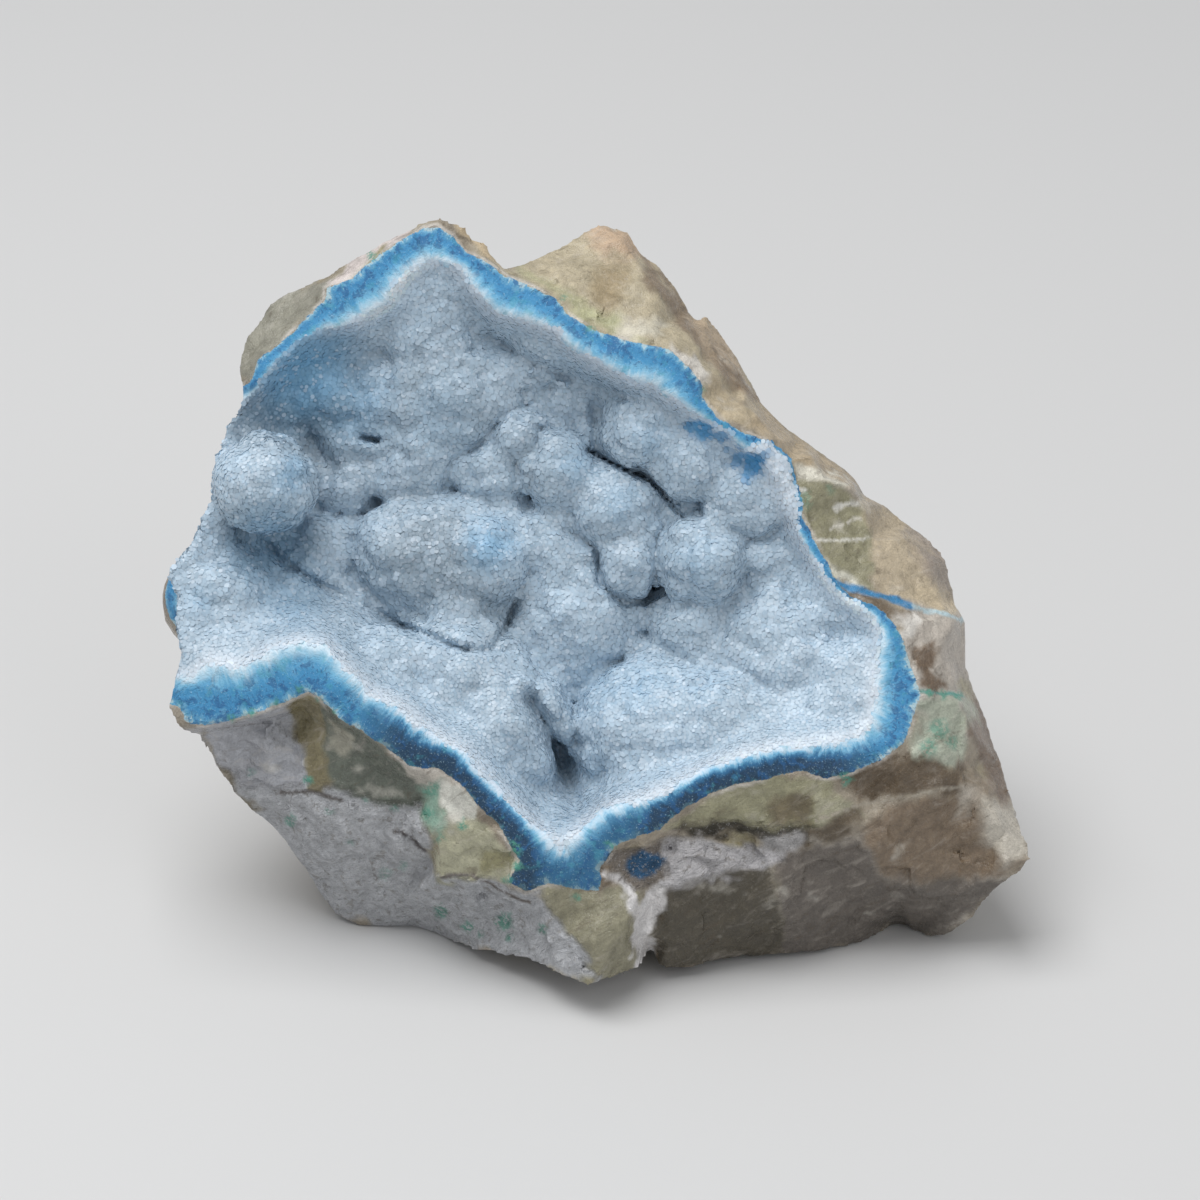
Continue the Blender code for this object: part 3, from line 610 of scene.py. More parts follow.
# Faces and patches of the broken quartz: outline on the plan, colour, softness of the edge in mm. A few carry painted
# shade on faces turned from the light, and one is a painted shadow line.
PATCHES_AND_SHADE = [
    ([(480, 240), (600, 200), (720, 250), (800, 400), (700, 430), (560, 310)], (176, 165, 140), 0.6),
    ([(575, 225), (628, 226), (660, 262), (618, 262), (590, 246)], (184, 160, 134), 0.8),
    ([(510, 268), (560, 296), (600, 328), (645, 342), (612, 318), (566, 292), (530, 274)], (168, 168, 132), 0.8),
    ([(618, 326), (640, 318), (668, 322), (662, 336), (625, 338)], (204, 198, 180), 0.7),
    ([(600, 262), (626, 268), (622, 300), (604, 312), (594, 290)], (158, 142, 112), 1.1),
    # painted shade: the side face turned from the light
    ([(640, 252), (700, 318), (768, 410), (748, 404), (688, 334), (645, 284)], (134, 118, 98), 0.5),
    ([(694, 314), (712, 314), (742, 362), (764, 408), (738, 388), (702, 346)], (172, 154, 130), 0.5),
    # painted shade: the spike's strip on the same shaded side
    ([(716, 350), (738, 370), (760, 404), (744, 394), (722, 366)], (122, 104, 82), 0.4),
    ([(668, 345), (690, 352), (710, 374), (704, 388), (686, 367)], (214, 209, 200), 0.3),
    ([(703, 385), (712, 370), (758, 412), (765, 430), (745, 433), (716, 417)], (180, 166, 140), 0.4),
    ([(746, 428), (768, 405), (800, 436), (866, 484), (850, 487), (790, 465), (772, 445)], (172, 156, 130), 0.5),
    ([(788, 460), (812, 469), (852, 482), (836, 489), (792, 479)], (208, 204, 190), 0.35),
    ([(793, 478), (836, 488), (862, 500), (878, 540), (876, 592), (838, 585), (812, 540), (796, 505)], (144, 140, 114), 0.4),
    ([(822, 556), (842, 572), (868, 586), (846, 588), (828, 572)], (206, 204, 190), 0.4),
    ([(860, 494), (905, 520), (955, 560), (955, 604), (915, 606), (880, 592), (872, 540)], (182, 168, 144), 0.7),
    # painted shade: the side turned from the light
    ([(905, 520), (955, 556), (956, 602), (930, 572)], (156, 144, 132), 0.8),
    ([(900, 592), (938, 584), (958, 602), (958, 617), (915, 607)], (204, 188, 160), 0.6),
    ([(895, 608), (968, 616), (972, 668), (945, 692), (912, 656)], (180, 172, 162), 0.4),
    ([(896, 616), (922, 610), (910, 642), (902, 640)], (216, 212, 205), 0.4),
    ([(908, 652), (936, 646), (934, 664), (924, 668), (948, 688), (924, 694)], (116, 98, 80), 0.3),
    ([(905, 698), (962, 693), (982, 728), (952, 764), (905, 762), (918, 716)], (166, 172, 156), 0.5),
    # partly its own brown, partly painted shade on the side turned from the light
    ([(972, 695), (992, 715), (1022, 815), (1000, 808), (976, 748)], (124, 108, 94), 0.6),
    ([(845, 766), (905, 754), (968, 766), (958, 788), (862, 802), (846, 786)], (94, 80, 62), 0.5),
    ([(858, 830), (900, 804), (985, 786), (1012, 840), (1030, 866), (945, 884), (880, 876)], (122, 106, 88), 0.7),
    ([(962, 784), (984, 788), (978, 806), (956, 818)], (168, 160, 148), 0.7),
    ([(984, 800), (1018, 808), (1030, 856), (1004, 866), (986, 836)], (186, 180, 168), 0.9),
    ([(778, 850), (860, 836), (880, 876), (1005, 878), (945, 940), (895, 928), (860, 948), (778, 958)], (100, 93, 86), 0.7),
    ([(654, 890), (700, 878), (770, 868), (784, 905), (778, 960), (690, 970), (654, 970)], (76, 70, 57), 0.5),
    ([(660, 840), (700, 836), (792, 850), (772, 870), (700, 880), (656, 892)], (186, 184, 186), 0.4),
    ([(756, 828), (800, 824), (808, 838), (786, 854), (766, 845)], (170, 168, 168), 0.4),
    # painted shadow in the recess under the band's lower edge
    ([(672, 828), (740, 822), (820, 820), (800, 832), (740, 832), (690, 838)], (66, 62, 52), 0.3),
    ([(668, 828), (705, 796), (765, 778), (820, 780), (848, 806), (816, 823), (740, 824)], (146, 143, 116), 0.4),
    ([(806, 786), (846, 800), (862, 816), (820, 822)], (154, 151, 128), 0.4),
    ([(772, 800), (808, 796), (812, 820), (770, 820)], (112, 102, 78), 0.6),
    ([(804, 828), (862, 806), (850, 832), (800, 848)], (92, 80, 62), 0.5),
    ([(534, 884), (600, 893), (642, 884), (644, 965), (588, 990), (556, 932)], (140, 136, 114), 0.5),
    ([(602, 868), (628, 884), (640, 902), (654, 880), (664, 896), (652, 950), (640, 978), (628, 978), (636, 922), (618, 892)], (212, 210, 210), 0.3),
    ([(612, 850), (660, 840), (664, 878), (640, 890), (616, 884)], (128, 120, 112), 0.3),
    ([(214, 764), (250, 785), (330, 790), (420, 800), (437, 872), (500, 882), (540, 896), (604, 985), (530, 965), (445, 942), (330, 918), (296, 862), (250, 814)], (188, 190, 194), 0.4),
    # partly its own grey, partly painted shade of the recess under the crust's lip
    ([(186, 728), (300, 694), (314, 792), (250, 788), (212, 768)], (166, 168, 174), 0.5),
    ([(196, 730), (222, 770), (262, 812), (250, 816), (210, 770)], (136, 128, 112), 0.5),
    ([(290, 696), (314, 690), (338, 790), (312, 792)], (124, 116, 88), 0.4),
    ([(314, 690), (412, 768), (442, 790), (416, 808), (334, 792)], (98, 104, 94), 0.4),
    ([(326, 722), (352, 740), (344, 752), (330, 744)], (158, 156, 142), 0.3),
    ([(400, 762), (430, 768), (470, 790), (450, 792), (416, 786)], (190, 184, 174), 0.3),
    ([(418, 790), (443, 784), (441, 838), (428, 828)], (136, 166, 150), 0.6),
    ([(440, 784), (462, 784), (476, 806), (472, 832), (446, 840)], (212, 212, 203), 0.3),
    ([(436, 832), (476, 820), (517, 850), (510, 882), (438, 878)], (168, 166, 142), 0.35),
    ([(480, 850), (512, 850), (506, 872), (482, 874)], (140, 136, 104), 0.4),
    ([(230, 366), (240, 330), (262, 298), (283, 288), (330, 276), (322, 300), (256, 384)], (142, 140, 127), 0.4),
    ([(322, 282), (364, 246), (420, 214), (404, 240), (366, 266), (346, 282), (325, 294)], (204, 194, 190), 0.3),
    ([(442, 212), (490, 236), (508, 270), (487, 264), (456, 232)], (190, 172, 142), 0.4),
    ([(184, 505), (220, 500), (216, 545), (184, 546)], (190, 172, 146), 0.4),
]
# Small green and turquoise spots: place, radius in mm, strength.
SPOTS = [
    (372, 256, 0.5, 0.8), (300, 688, 0.5, 0.9), (275, 702, 0.6, 0.8), (250, 713, 0.6, 0.8), (232, 718, 0.5, 0.8),
    (318, 700, 0.4, 0.7), (336, 712, 0.4, 0.7), (516, 848, 0.7, 0.9), (518, 866, 0.8, 0.9), (508, 880, 0.7, 0.8),
    (610, 845, 0.6, 0.8), (846, 780, 0.8, 0.8), (940, 730, 1.3, 0.6), (928, 748, 1.2, 0.6), (952, 742, 0.9, 0.5),
    (440, 912, 0.9, 0.8), (468, 928, 0.8, 0.8), (505, 922, 1.2, 0.8), (509, 938, 0.6, 0.8), (290, 820, 0.8, 0.7),
    (308, 780, 0.7, 0.9), (330, 812, 0.5, 0.4), (385, 875, 0.9, 0.35), (404, 866, 0.6, 0.4), (543, 930, 0.7, 0.7),
    (350, 842, 0.5, 0.4), (432, 790, 1.0, 0.7), (428, 812, 0.9, 0.7), (440, 838, 0.6, 0.6), (462, 824, 0.6, 0.8),
    (394, 808, 0.5, 0.6), (575, 897, 0.5, 0.6), (590, 329, 0.6, 0.6), (562, 300, 0.5, 0.5), (704, 388, 0.4, 0.5),
    (805, 500, 1.2, 0.3), (830, 490, 0.6, 0.3), (928, 692, 0.5, 0.8), (945, 694, 0.5, 0.8), (958, 696, 0.5, 0.8),
    (480, 935, 0.5, 0.6), (366, 800, 0.5, 0.4), (252, 772, 0.5, 0.3),
]
# Blue that shows through the lining: place, radius in mm, strength.
BLUE_SHOWS = [(704, 430, 1.3, 1.0), (722, 436, 1.0, 0.8), (692, 426, 0.9, 0.9), (740, 458, 1.2, 0.8), (753, 464, 1.5, 1.0),
              (746, 474, 0.9, 0.8), (728, 448, 0.6, 0.6), (764, 456, 0.7, 0.7)]
# Cyan tints of the lining and painted blue shade: the large deep-blue places in the upper left stand for the bluer
# shade under the rim: place, radius in mm, strength.
CYAN_AND_BLUE_SHADE = [(490, 545, 4.2, 0.50), (290, 476, 3.0, 0.40), (575, 465, 3.4, 0.22), (600, 690, 4.6, 0.16), (640, 690, 4.4, 0.20),
        (650, 440, 3.2, 0.18), (700, 560, 3.4, 0.16), (300, 370, 9.0, 0.75), (345, 400, 7.0, 0.40), (270, 545, 7.0, 0.38),
        (290, 590, 5.5, 0.28), (620, 500, 3.4, 0.18), (440, 420, 5.5, 0.14), (705, 690, 3.4, 0.12), (200, 600, 2.6, 0.20)]
# Painted shade and painted light on the lining: places darkened where it lies in shade under the rim and in hollows,
# and places brightened where it faces the lamp: place, radius in mm, strength.
PAINTED_SHADE_AND_LIGHT = [(300, 372, 9.5, 0.52), (250, 420, 5.0, 0.80), (430, 400, 8.0, 0.84), (425, 560, 8.5, 0.74), (500, 610, 5.0, 0.84), (330, 440, 6.0, 0.78),
        (255, 540, 6.0, 0.72), (540, 470, 4.5, 0.90), (300, 545, 4.0, 0.80), (840, 610, 9.0, 1.12), (800, 700, 8.0, 1.10), (700, 720, 8.0, 1.08), (560, 640, 6.0, 1.06),
        (225, 470, 4.2, 1.12), (375, 285, 7.0, 1.22), (600, 690, 7.0, 1.04)]
# Thin blue, white and dark lines in the quartz: points, colour, half width in mm. The dark line under the yellowish
# block is a painted shadow.
VEINS_AND_SHADOW_LINE = [
    ([(838, 582), (850, 588), (870, 593), (893, 600), (913, 606)], (56, 128, 176), 0.30),
    ([(913, 606), (935, 612), (962, 620)], (178, 200, 206), 0.22),
    ([(918, 690), (934, 692), (962, 697)], (96, 150, 142), 0.16),
    ([(820, 541), (840, 540), (866, 538)], (208, 206, 196), 0.14),
    ([(830, 528), (845, 524), (862, 518)], (204, 200, 188), 0.14),
    ([(836, 508), (846, 505), (858, 502)], (214, 212, 204), 0.2),
    ([(800, 490), (806, 489)], (214, 212, 204), 0.25),
    ([(815, 822), (850, 808), (880, 800), (920, 795), (960, 786)], (160, 152, 138), 0.14),
    ([(395, 830), (408, 838), (425, 850)], (96, 92, 92), 0.16),
    # painted shadow under the overhanging yellowish block
    ([(440, 880), (470, 874), (500, 890), (530, 902)], (118, 112, 108), 0.16),
    ([(280, 792), (310, 792), (340, 800)], (112, 108, 106), 0.2),
    ([(770, 868), (778, 890), (782, 925)], (118, 112, 100), 0.12),
]


def classify(right, down, out):
    """What each place of the surface is, its tint and its place along and across the crust."""
    n = len(right)
    p = np.stack(face_frame(right, down, out), -1).astype(np.float32)
    ruffle = 0.20 * soft_noise(p, 0.6, 201) + 0.26 * soft_noise(p, 1.7, 207)
    d_out, d_in = zones(right, down)
    d_line = polygon_distance(OUTLINE, right, down)
    top = sample(front, uu, vv, right, down)
    depth = top - out
    wall = (d_line > -0.8) & (depth > 0.8)
    in_bare = smoothstep(4.6, 3.4, np.hypot(right - BARE_RIM[0], down - BARE_RIM[1]) / 10.0)
    d_in_eff = d_in + ruffle + 0.45 * soft_noise(p, 1.3, 211) - 0.1 - in_bare * 2.4
    inner = (d_in_eff < 0) & ~wall & (depth < 4.0) & (d_out < 0.1)
    crust = ~inner & (d_out + 0.25 * ruffle < 0) & (depth < np.where(wall, 3.3, 3.6))
    crust |= ~inner & ~wall & (d_in_eff < 0.2) & (depth < 3.6) & (d_out < 0.5)
    stone = ~inner & ~crust
    s, to_edge = along(CRUST_OUT + [(150, 690), (150, 390)] + CRUST_OUT_LEFT, right, down)
    width = np.maximum(to_edge + np.abs(d_in), 0.3)
    t = np.where(wall, np.clip(1 - (depth - 0.6) / 2.7, 0, 1), np.clip(to_edge / width, 0, 1))
    edge = np.minimum(-(d_out + 0.15 * ruffle), np.where(wall, 3.3, 3.6) - depth)
    edge = np.where(crust, np.clip(edge, np.where(d_in_eff < 0.2, 0.2, 0.0), 2.0), np.clip(edge, -2.0, 0.0))
    edge[inner] = 2.0
    shows = np.zeros(n)
    for x, y, r, k in BLUE_SHOWS:
        d = np.hypot(right - x, down - y) / 10.0 + 0.5 * soft_noise(p, 0.5, 301)
        shows = np.maximum(shows, k * smoothstep(r, r * 0.55, d))
    shows *= inner

    # Broken quartz.
    streak = p @ np.array([[0.88, 0.20, 0.1], [0.47, -0.75, 0.2], [0.0, 0.6, 1.0]], np.float32)
    streak = streak * np.array([0.5, 1.0, 1.0], np.float32)
    cloud = layered(p, 9.0, 401, 3)
    grain = layered(streak, 2.0, 421, 3)
    base = srgb(150, 140, 124)[None] * (1 + 0.10 * grain[:, None])
    pale = smoothstep(0.10, 0.45, cloud)[:, None]
    base = base * (1 - pale) + srgb(182, 176, 168)[None] * pale
    dark = smoothstep(-0.05, -0.42, cloud)[:, None]
    base = base * (1 - dark) + srgb(112, 98, 80)[None] * dark
    yellow = (smoothstep(0.12, 0.5, layered(p, 7.0, 441, 2)) * 0.8)[:, None]
    base = base * (1 - yellow) + srgb(158, 150, 116)[None] * yellow
    facing = smoothstep(3.8, 1.4, depth) * stone
    wander_x = right + 8.0 * soft_noise(p, 2.2, 461) + 4.0 * soft_noise(p, 0.7, 462)
    wander_y = down + 8.0 * soft_noise(p, 2.2, 463) + 4.0 * soft_noise(p, 0.7, 464)
    tint = base
    # The patches give the faces their colours; a few of them are painted shade.
    for poly, colour, soft in PATCHES_AND_SHADE:
        w = (smoothstep(soft, -soft, polygon_distance(poly, wander_x, wander_y)) * facing)[:, None]
        tint = tint * (1 - w) + srgb(*colour)[None] * w
    chalk = np.zeros(n)
    for k in (28, 29, 30, 37, 38):
        chalk = np.maximum(chalk, smoothstep(0.3, -0.3, polygon_distance(PATCHES_AND_SHADE[k][0], wander_x, wander_y)) * facing)
    behind = smoothstep(0.08, 0.34, layered(p, 11.0, 481, 3)) * (1 - facing)
    chalk = np.maximum(chalk, behind)
    w = (behind * 0.85)[:, None]
    tint = tint * (1 - w) + srgb(166, 163, 162)[None] * w
    # streaks and flecks inside the quartz
    tint = tint * (1 + (0.16 * grain + 0.10 * layered(p, 0.9, 491, 2))[:, None] * (1 - 0.6 * chalk[:, None]))
    fleck = smoothstep(0.34, 0.60, layered(p * np.array([0.8, 1.0, 1.2], np.float32), 2.4, 501, 5))[:, None] * 0.38 * (1 - chalk[:, None])
    tint = tint * (1 - fleck) + srgb(206, 202, 192)[None] * fleck
    # veins and dark lines, one of them a painted shadow
    for line, colour, half in VEINS_AND_SHADOW_LINE:
        _, d = along(line, right + 2.5 * soft_noise(p, 1.1, 521), down + 2.5 * soft_noise(p, 1.1, 522))
        w = (smoothstep(half * 1.4, half * 0.6, d) * facing)[:, None]
        tint = tint * (1 - w) + srgb(*colour)[None] * w
    # the small blue knob in its pocket
    w = smoothstep(1.75, 1.35, np.hypot((right - 644) * 0.82, (down - 864) * 1.10) / 10.0 + 1.6 * ruffle)[:, None] * facing[:, None]
    tint = tint * (1 - w) + srgb(40, 84, 120)[None] * (1 + 0.5 * soft_noise(p, 0.5, 531)[:, None]) * w
    # a pale hem where the crust meets the quartz
    hem = (smoothstep(0.32, 0.05, np.abs(d_out - 0.12)) * facing * smoothstep(-0.35, 0.2, soft_noise(p, 2.2, 541)))[:, None] * 0.8
    tint = tint * (1 - hem) + srgb(206, 200, 192)[None] * hem
    # spots
    green = np.zeros(n)
    for x, y, r, k in SPOTS:
        d = np.hypot(right - x, down - y) / 10.0 + 0.35 * soft_noise(p, 0.5, 551)
        green = np.maximum(green, k * smoothstep(r, r * 0.4, d))
    green *= (depth < 3) * (~inner)
    # lining: cyan tints, painted blue shade, and painted shade and light
    cyan_and_blue_shade = np.zeros(n)
    for x, y, r, k in CYAN_AND_BLUE_SHADE:
        d = np.hypot(right - x, down - y) / 10.0
        cyan_and_blue_shade = np.maximum(cyan_and_blue_shade, k * smoothstep(r, r * 0.1, d + 0.5 * soft_noise(p, 1.2, 561)))
    painted_shade_and_light = np.ones(n)
    for x, y, r, k in PAINTED_SHADE_AND_LIGHT:
        d = np.hypot(right - x, down - y) / 10.0
        painted_shade_and_light *= 1 + (k - 1) * smoothstep(r, r * 0.2, d + 0.8 * soft_noise(p, 2.0, 571))
    return dict(p=p, painted_shade_and_light=painted_shade_and_light, inner=inner, crust=crust, stone=stone, depth=depth, d_in=d_in, d_out=d_out, s=s, t=t,
                tint=np.clip(tint, 0, 1), chalk=chalk, green=green, cyan_and_blue_shade=cyan_and_blue_shade, shows=shows, wall=wall, edge=edge)


def largest_part(count, quads):
    """Which vertices belong to the largest connected part of the surface."""
    label = np.arange(count)
    a = np.concatenate([quads[:, 0], quads[:, 1], quads[:, 2]])
    b = np.concatenate([quads[:, 1], quads[:, 2], quads[:, 3]])
    while True:
        low = np.minimum(label[a], label[b])
        new = label.copy()
        np.minimum.at(new, label[a], low)
        np.minimum.at(new, label[b], low)
        for _ in range(4):
            new = new[new]
        if (new == label).all():
            return label == np.bincount(label).argmax()
        label = new


def evaluated(obj):
    """Plain mesh of the object with its modifiers applied."""
    deps = bpy.context.evaluated_depsgraph_get()
    return bpy.data.meshes.new_from_object(obj.evaluated_get(deps), depsgraph=deps)


def read_points(mesh):
    co = np.empty(len(mesh.vertices) * 3, np.float32)
    mesh.vertices.foreach_get("co", co)
    return co.reshape(-1, 3).astype(np.float64)


def read_triangles(mesh):
    mesh.calc_loop_triangles()
    tri = np.empty(len(mesh.loop_triangles) * 3, np.int32)
    mesh.loop_triangles.foreach_get("vertices", tri)
    return tri.reshape(-1, 3)


uu, vv, cc, field, front, back = build_field()
grid_verts, quads = surface(field)
keep = largest_part(len(grid_verts), quads)
quads = quads[keep[quads].all(1)]
renumber = np.cumsum(keep) - 1
grid_verts, quads = grid_verts[keep], renumber[quads]
right = uu[0] + grid_verts[:, 0] * (uu[1] - uu[0])
down = vv[0] + grid_verts[:, 1] * (vv[1] - vv[0])
out = cc[0] + grid_verts[:, 2] * GRAIN
fine_mesh = mesh_from("specimen_fine", to_world(right, down, out) * MM, quads)
fine = bpy.data.objects.new("specimen_fine", fine_mesh)
bpy.context.scene.collection.objects.link(fine)
# The open face keeps its small shapes, the hidden back is drawn coarser.
group = fine.vertex_groups.new(name="coarse")
depth = sample(front, uu, vv, right, down) - out
hidden = smoothstep(2.0, 9.0, depth)
for level in range(1, 9):
    chosen = np.nonzero((hidden > (level - 0.5) / 8) & (hidden <= (level + 0.5) / 8))[0]
    if len(chosen):
        group.add(chosen.tolist(), level / 8, "REPLACE")
slim = fine.modifiers.new("slim", "DECIMATE")
slim.ratio = min(1.0, BODY_TRIANGLES / (2.0 * len(quads)))
slim.vertex_group = "coarse"
slim.vertex_group_factor = 1.6
mesh = evaluated(fine)
mesh.name = "specimen"
bpy.data.objects.remove(fine)
bpy.data.meshes.remove(fine_mesh)
mesh.validate()
body = bpy.data.objects.new("specimen", mesh)
bpy.context.scene.collection.objects.link(body)
points = read_points(mesh)
tris = read_triangles(mesh)
print("body", 2 * len(quads), "->", len(tris), "triangles")
right, down, out = plan_of(points / MM)
what = classify(right, down, out)


# ---------------------------------------------------------------- materials
def attribute(mesh, name, kind, values):
    a = mesh.attributes.new(name, kind, "POINT")
    if kind == "FLOAT_COLOR":
        rgba = np.ones((len(values), 4), np.float32)
        rgba[:, :3] = values
        a.data.foreach_set("color", rgba.ravel())
    elif kind == "FLOAT_VECTOR":
        a.data.foreach_set("vector", np.ascontiguousarray(values, np.float32).ravel())
    else:
        a.data.foreach_set("value", np.ascontiguousarray(values, np.float32))


class Graph:
    """Small helper around one material's nodes."""

    def __init__(self, name):
        self.mat = bpy.data.materials.new(name)
        self.mat.use_nodes = True
        self.tree = self.mat.node_tree
        self.shader = self.tree.nodes["Principled BSDF"]
        self.place = self.add("ShaderNodeTexCoord").outputs["Object"]

    def add(self, kind, **settings):
        n = self.tree.nodes.new(kind)
        for k, v in settings.items():
            setattr(n, k, v)
        return n

    def put(self, socket, value):
        if isinstance(value, bpy.types.NodeSocket):
            self.tree.links.new(value, socket)
        elif isinstance(value, (tuple, list, np.ndarray)) and len(value) == 3 and socket.type == "RGBA":
            socket.default_value = (float(value[0]), float(value[1]), float(value[2]), 1)
        else:
            socket.default_value = value

    def attr(self, name, out="Fac"):
        return self.add("ShaderNodeAttribute", attribute_name=name).outputs[out]

    def math(self, op, a, b=0.0, clamp=False):
        n = self.add("ShaderNodeMath", operation=op, use_clamp=clamp)
        self.put(n.inputs[0], a)
        self.put(n.inputs[1], b)
        return n.outputs[0]

    def stretched(self, scale, turn=(0, 0, 0), source=None):
        n = self.add("ShaderNodeMapping")
        self.put(n.inputs["Vector"], source or self.place)
        n.inputs["Rotation"].default_value = turn
        n.inputs["Scale"].default_value = scale
        return n.outputs[0]

    def noise(self, vector, scale, detail=3.0, rough=0.55, warp=0.0, dims="3D"):
        n = self.add("ShaderNodeTexNoise", noise_dimensions=dims)
        self.put(n.inputs["Vector"], vector)
        n.inputs["Scale"].default_value = scale
        n.inputs["Detail"].default_value = detail
        n.inputs["Roughness"].default_value = rough
        n.inputs["Distortion"].default_value = warp
        return n.outputs[0]

    def cells(self, vector, scale, feature="F1", out="Distance"):
        n = self.add("ShaderNodeTexVoronoi", feature=feature)
        self.put(n.inputs["Vector"], vector)
        n.inputs["Scale"].default_value = scale
        return n.outputs[out]

    def span(self, value, a, b, c=0.0, d=1.0):
        n = self.add("ShaderNodeMapRange", interpolation_type="SMOOTHSTEP")
        self.put(n.inputs["Value"], value)
        for k, v in zip(("From Min", "From Max", "To Min", "To Max"), (a, b, c, d)):
            self.put(n.inputs[k], v)
        return n.outputs[0]

    def mix(self, fac, a, b, blend="MIX"):
        n = self.add("ShaderNodeMix", data_type="RGBA", blend_type=blend)
        self.put(n.inputs[0], fac)
        self.put(n.inputs[6], a)
        self.put(n.inputs[7], b)
        return n.outputs[2]

    def ramp(self, value, stops):
        n = self.add("ShaderNodeValToRGB")
        self.put(n.inputs[0], value)
        e = n.color_ramp.elements
        while len(e) < len(stops):
            e.new(0.5)
        for slot, (at, colour) in zip(e, stops):
            slot.position = at
            slot.color = (float(colour[0]), float(colour[1]), float(colour[2]), 1)
        return n.outputs[0]

    def bump(self, height, distance, strength=1.0, under=None):
        n = self.add("ShaderNodeBump")
        n.inputs["Strength"].default_value = strength
        n.inputs["Distance"].default_value = distance
        self.put(n.inputs["Height"], height)
        if under is not None:
            self.put(n.inputs["Normal"], under)
        return n.outputs[0]


def crust_colour(g, cloud, grit):
    """Colour and fibre height of the blue crust, from its place along and across the band."""
    band = g.add("ShaderNodeSeparateXYZ")
    g.put(band.inputs[0], g.attr("band", "Vector"))
    s, t, low = band.outputs
    fibre_place = g.add("ShaderNodeCombineXYZ")
    g.put(fibre_place.inputs[0], g.math("MULTIPLY", s, 3.4))
    g.put(fibre_place.inputs[1], g.math("MULTIPLY", t, 1.3))
    fibre = g.noise(fibre_place.outputs[0], 1.0, 4, 0.62, 0.25)
    tuft_place = g.add("ShaderNodeCombineXYZ")
    g.put(tuft_place.inputs[0], g.math("MULTIPLY", s, 0.9))
    g.put(tuft_place.inputs[1], g.math("MULTIPLY", t, 1.1))
    tuft = g.noise(tuft_place.outputs[0], 1.0, 3, 0.6, 0.5)
    shift = g.math("ADD", g.math("MULTIPLY", g.math("SUBTRACT", fibre, 0.5), 0.26), g.math("MULTIPLY", g.math("SUBTRACT", tuft, 0.5), 0.60))
    shift = g.math("ADD", shift, g.math("MULTIPLY", g.math("SUBTRACT", cloud, 0.5), 0.45))
    across = g.math("ADD", t, shift, True)
    upper = g.ramp(across, [(0.0, srgb(168, 196, 206)), (0.05, srgb(104, 166, 200)), (0.20, srgb(57, 134, 184)), (0.46, srgb(70, 148, 196)),
                            (0.68, srgb(120, 184, 218)), (0.86, srgb(176, 212, 232)), (1.0, srgb(212, 230, 242))])
    # Painted shade: the darker ramp for the lower stretch of the crust, where its face turns down.
    lower = g.ramp(across, [(0.0, srgb(70, 104, 120)), (0.05, srgb(22, 58, 84)), (0.42, srgb(24, 64, 96)), (0.63, srgb(48, 114, 160)),
                            (0.76, srgb(118, 182, 218)), (0.86, srgb(184, 216, 236)), (1.0, srgb(216, 230, 244))])
    colour = g.mix(low, upper, lower)
    deep = g.math("MULTIPLY", g.span(cloud, 0.51, 0.62), g.span(t, 0.9, 0.5))
    colour = g.mix(g.math("MULTIPLY", deep, 0.7), colour, srgb(32, 92, 144))
    fleck = g.math("MULTIPLY", g.span(g.noise(g.stretched((2600, 2600, 2600)), 1.0, 3, 0.7), 0.58, 0.66), g.span(t, 0.9, 0.5))
    colour = g.mix(g.math("MULTIPLY", fleck, 0.6), colour, srgb(26, 76, 124))
    colour = g.mix(g.math("MULTIPLY", g.span(grit, 0.58, 0.72), 0.45), colour, srgb(176, 210, 226))
    teal = g.math("MULTIPLY", g.span(g.noise(g.stretched((700, 700, 700)), 1.0, 3, 0.6), 0.56, 0.68), 0.35)
    colour = g.mix(teal, colour, srgb(72, 160, 178))
    return colour, fibre


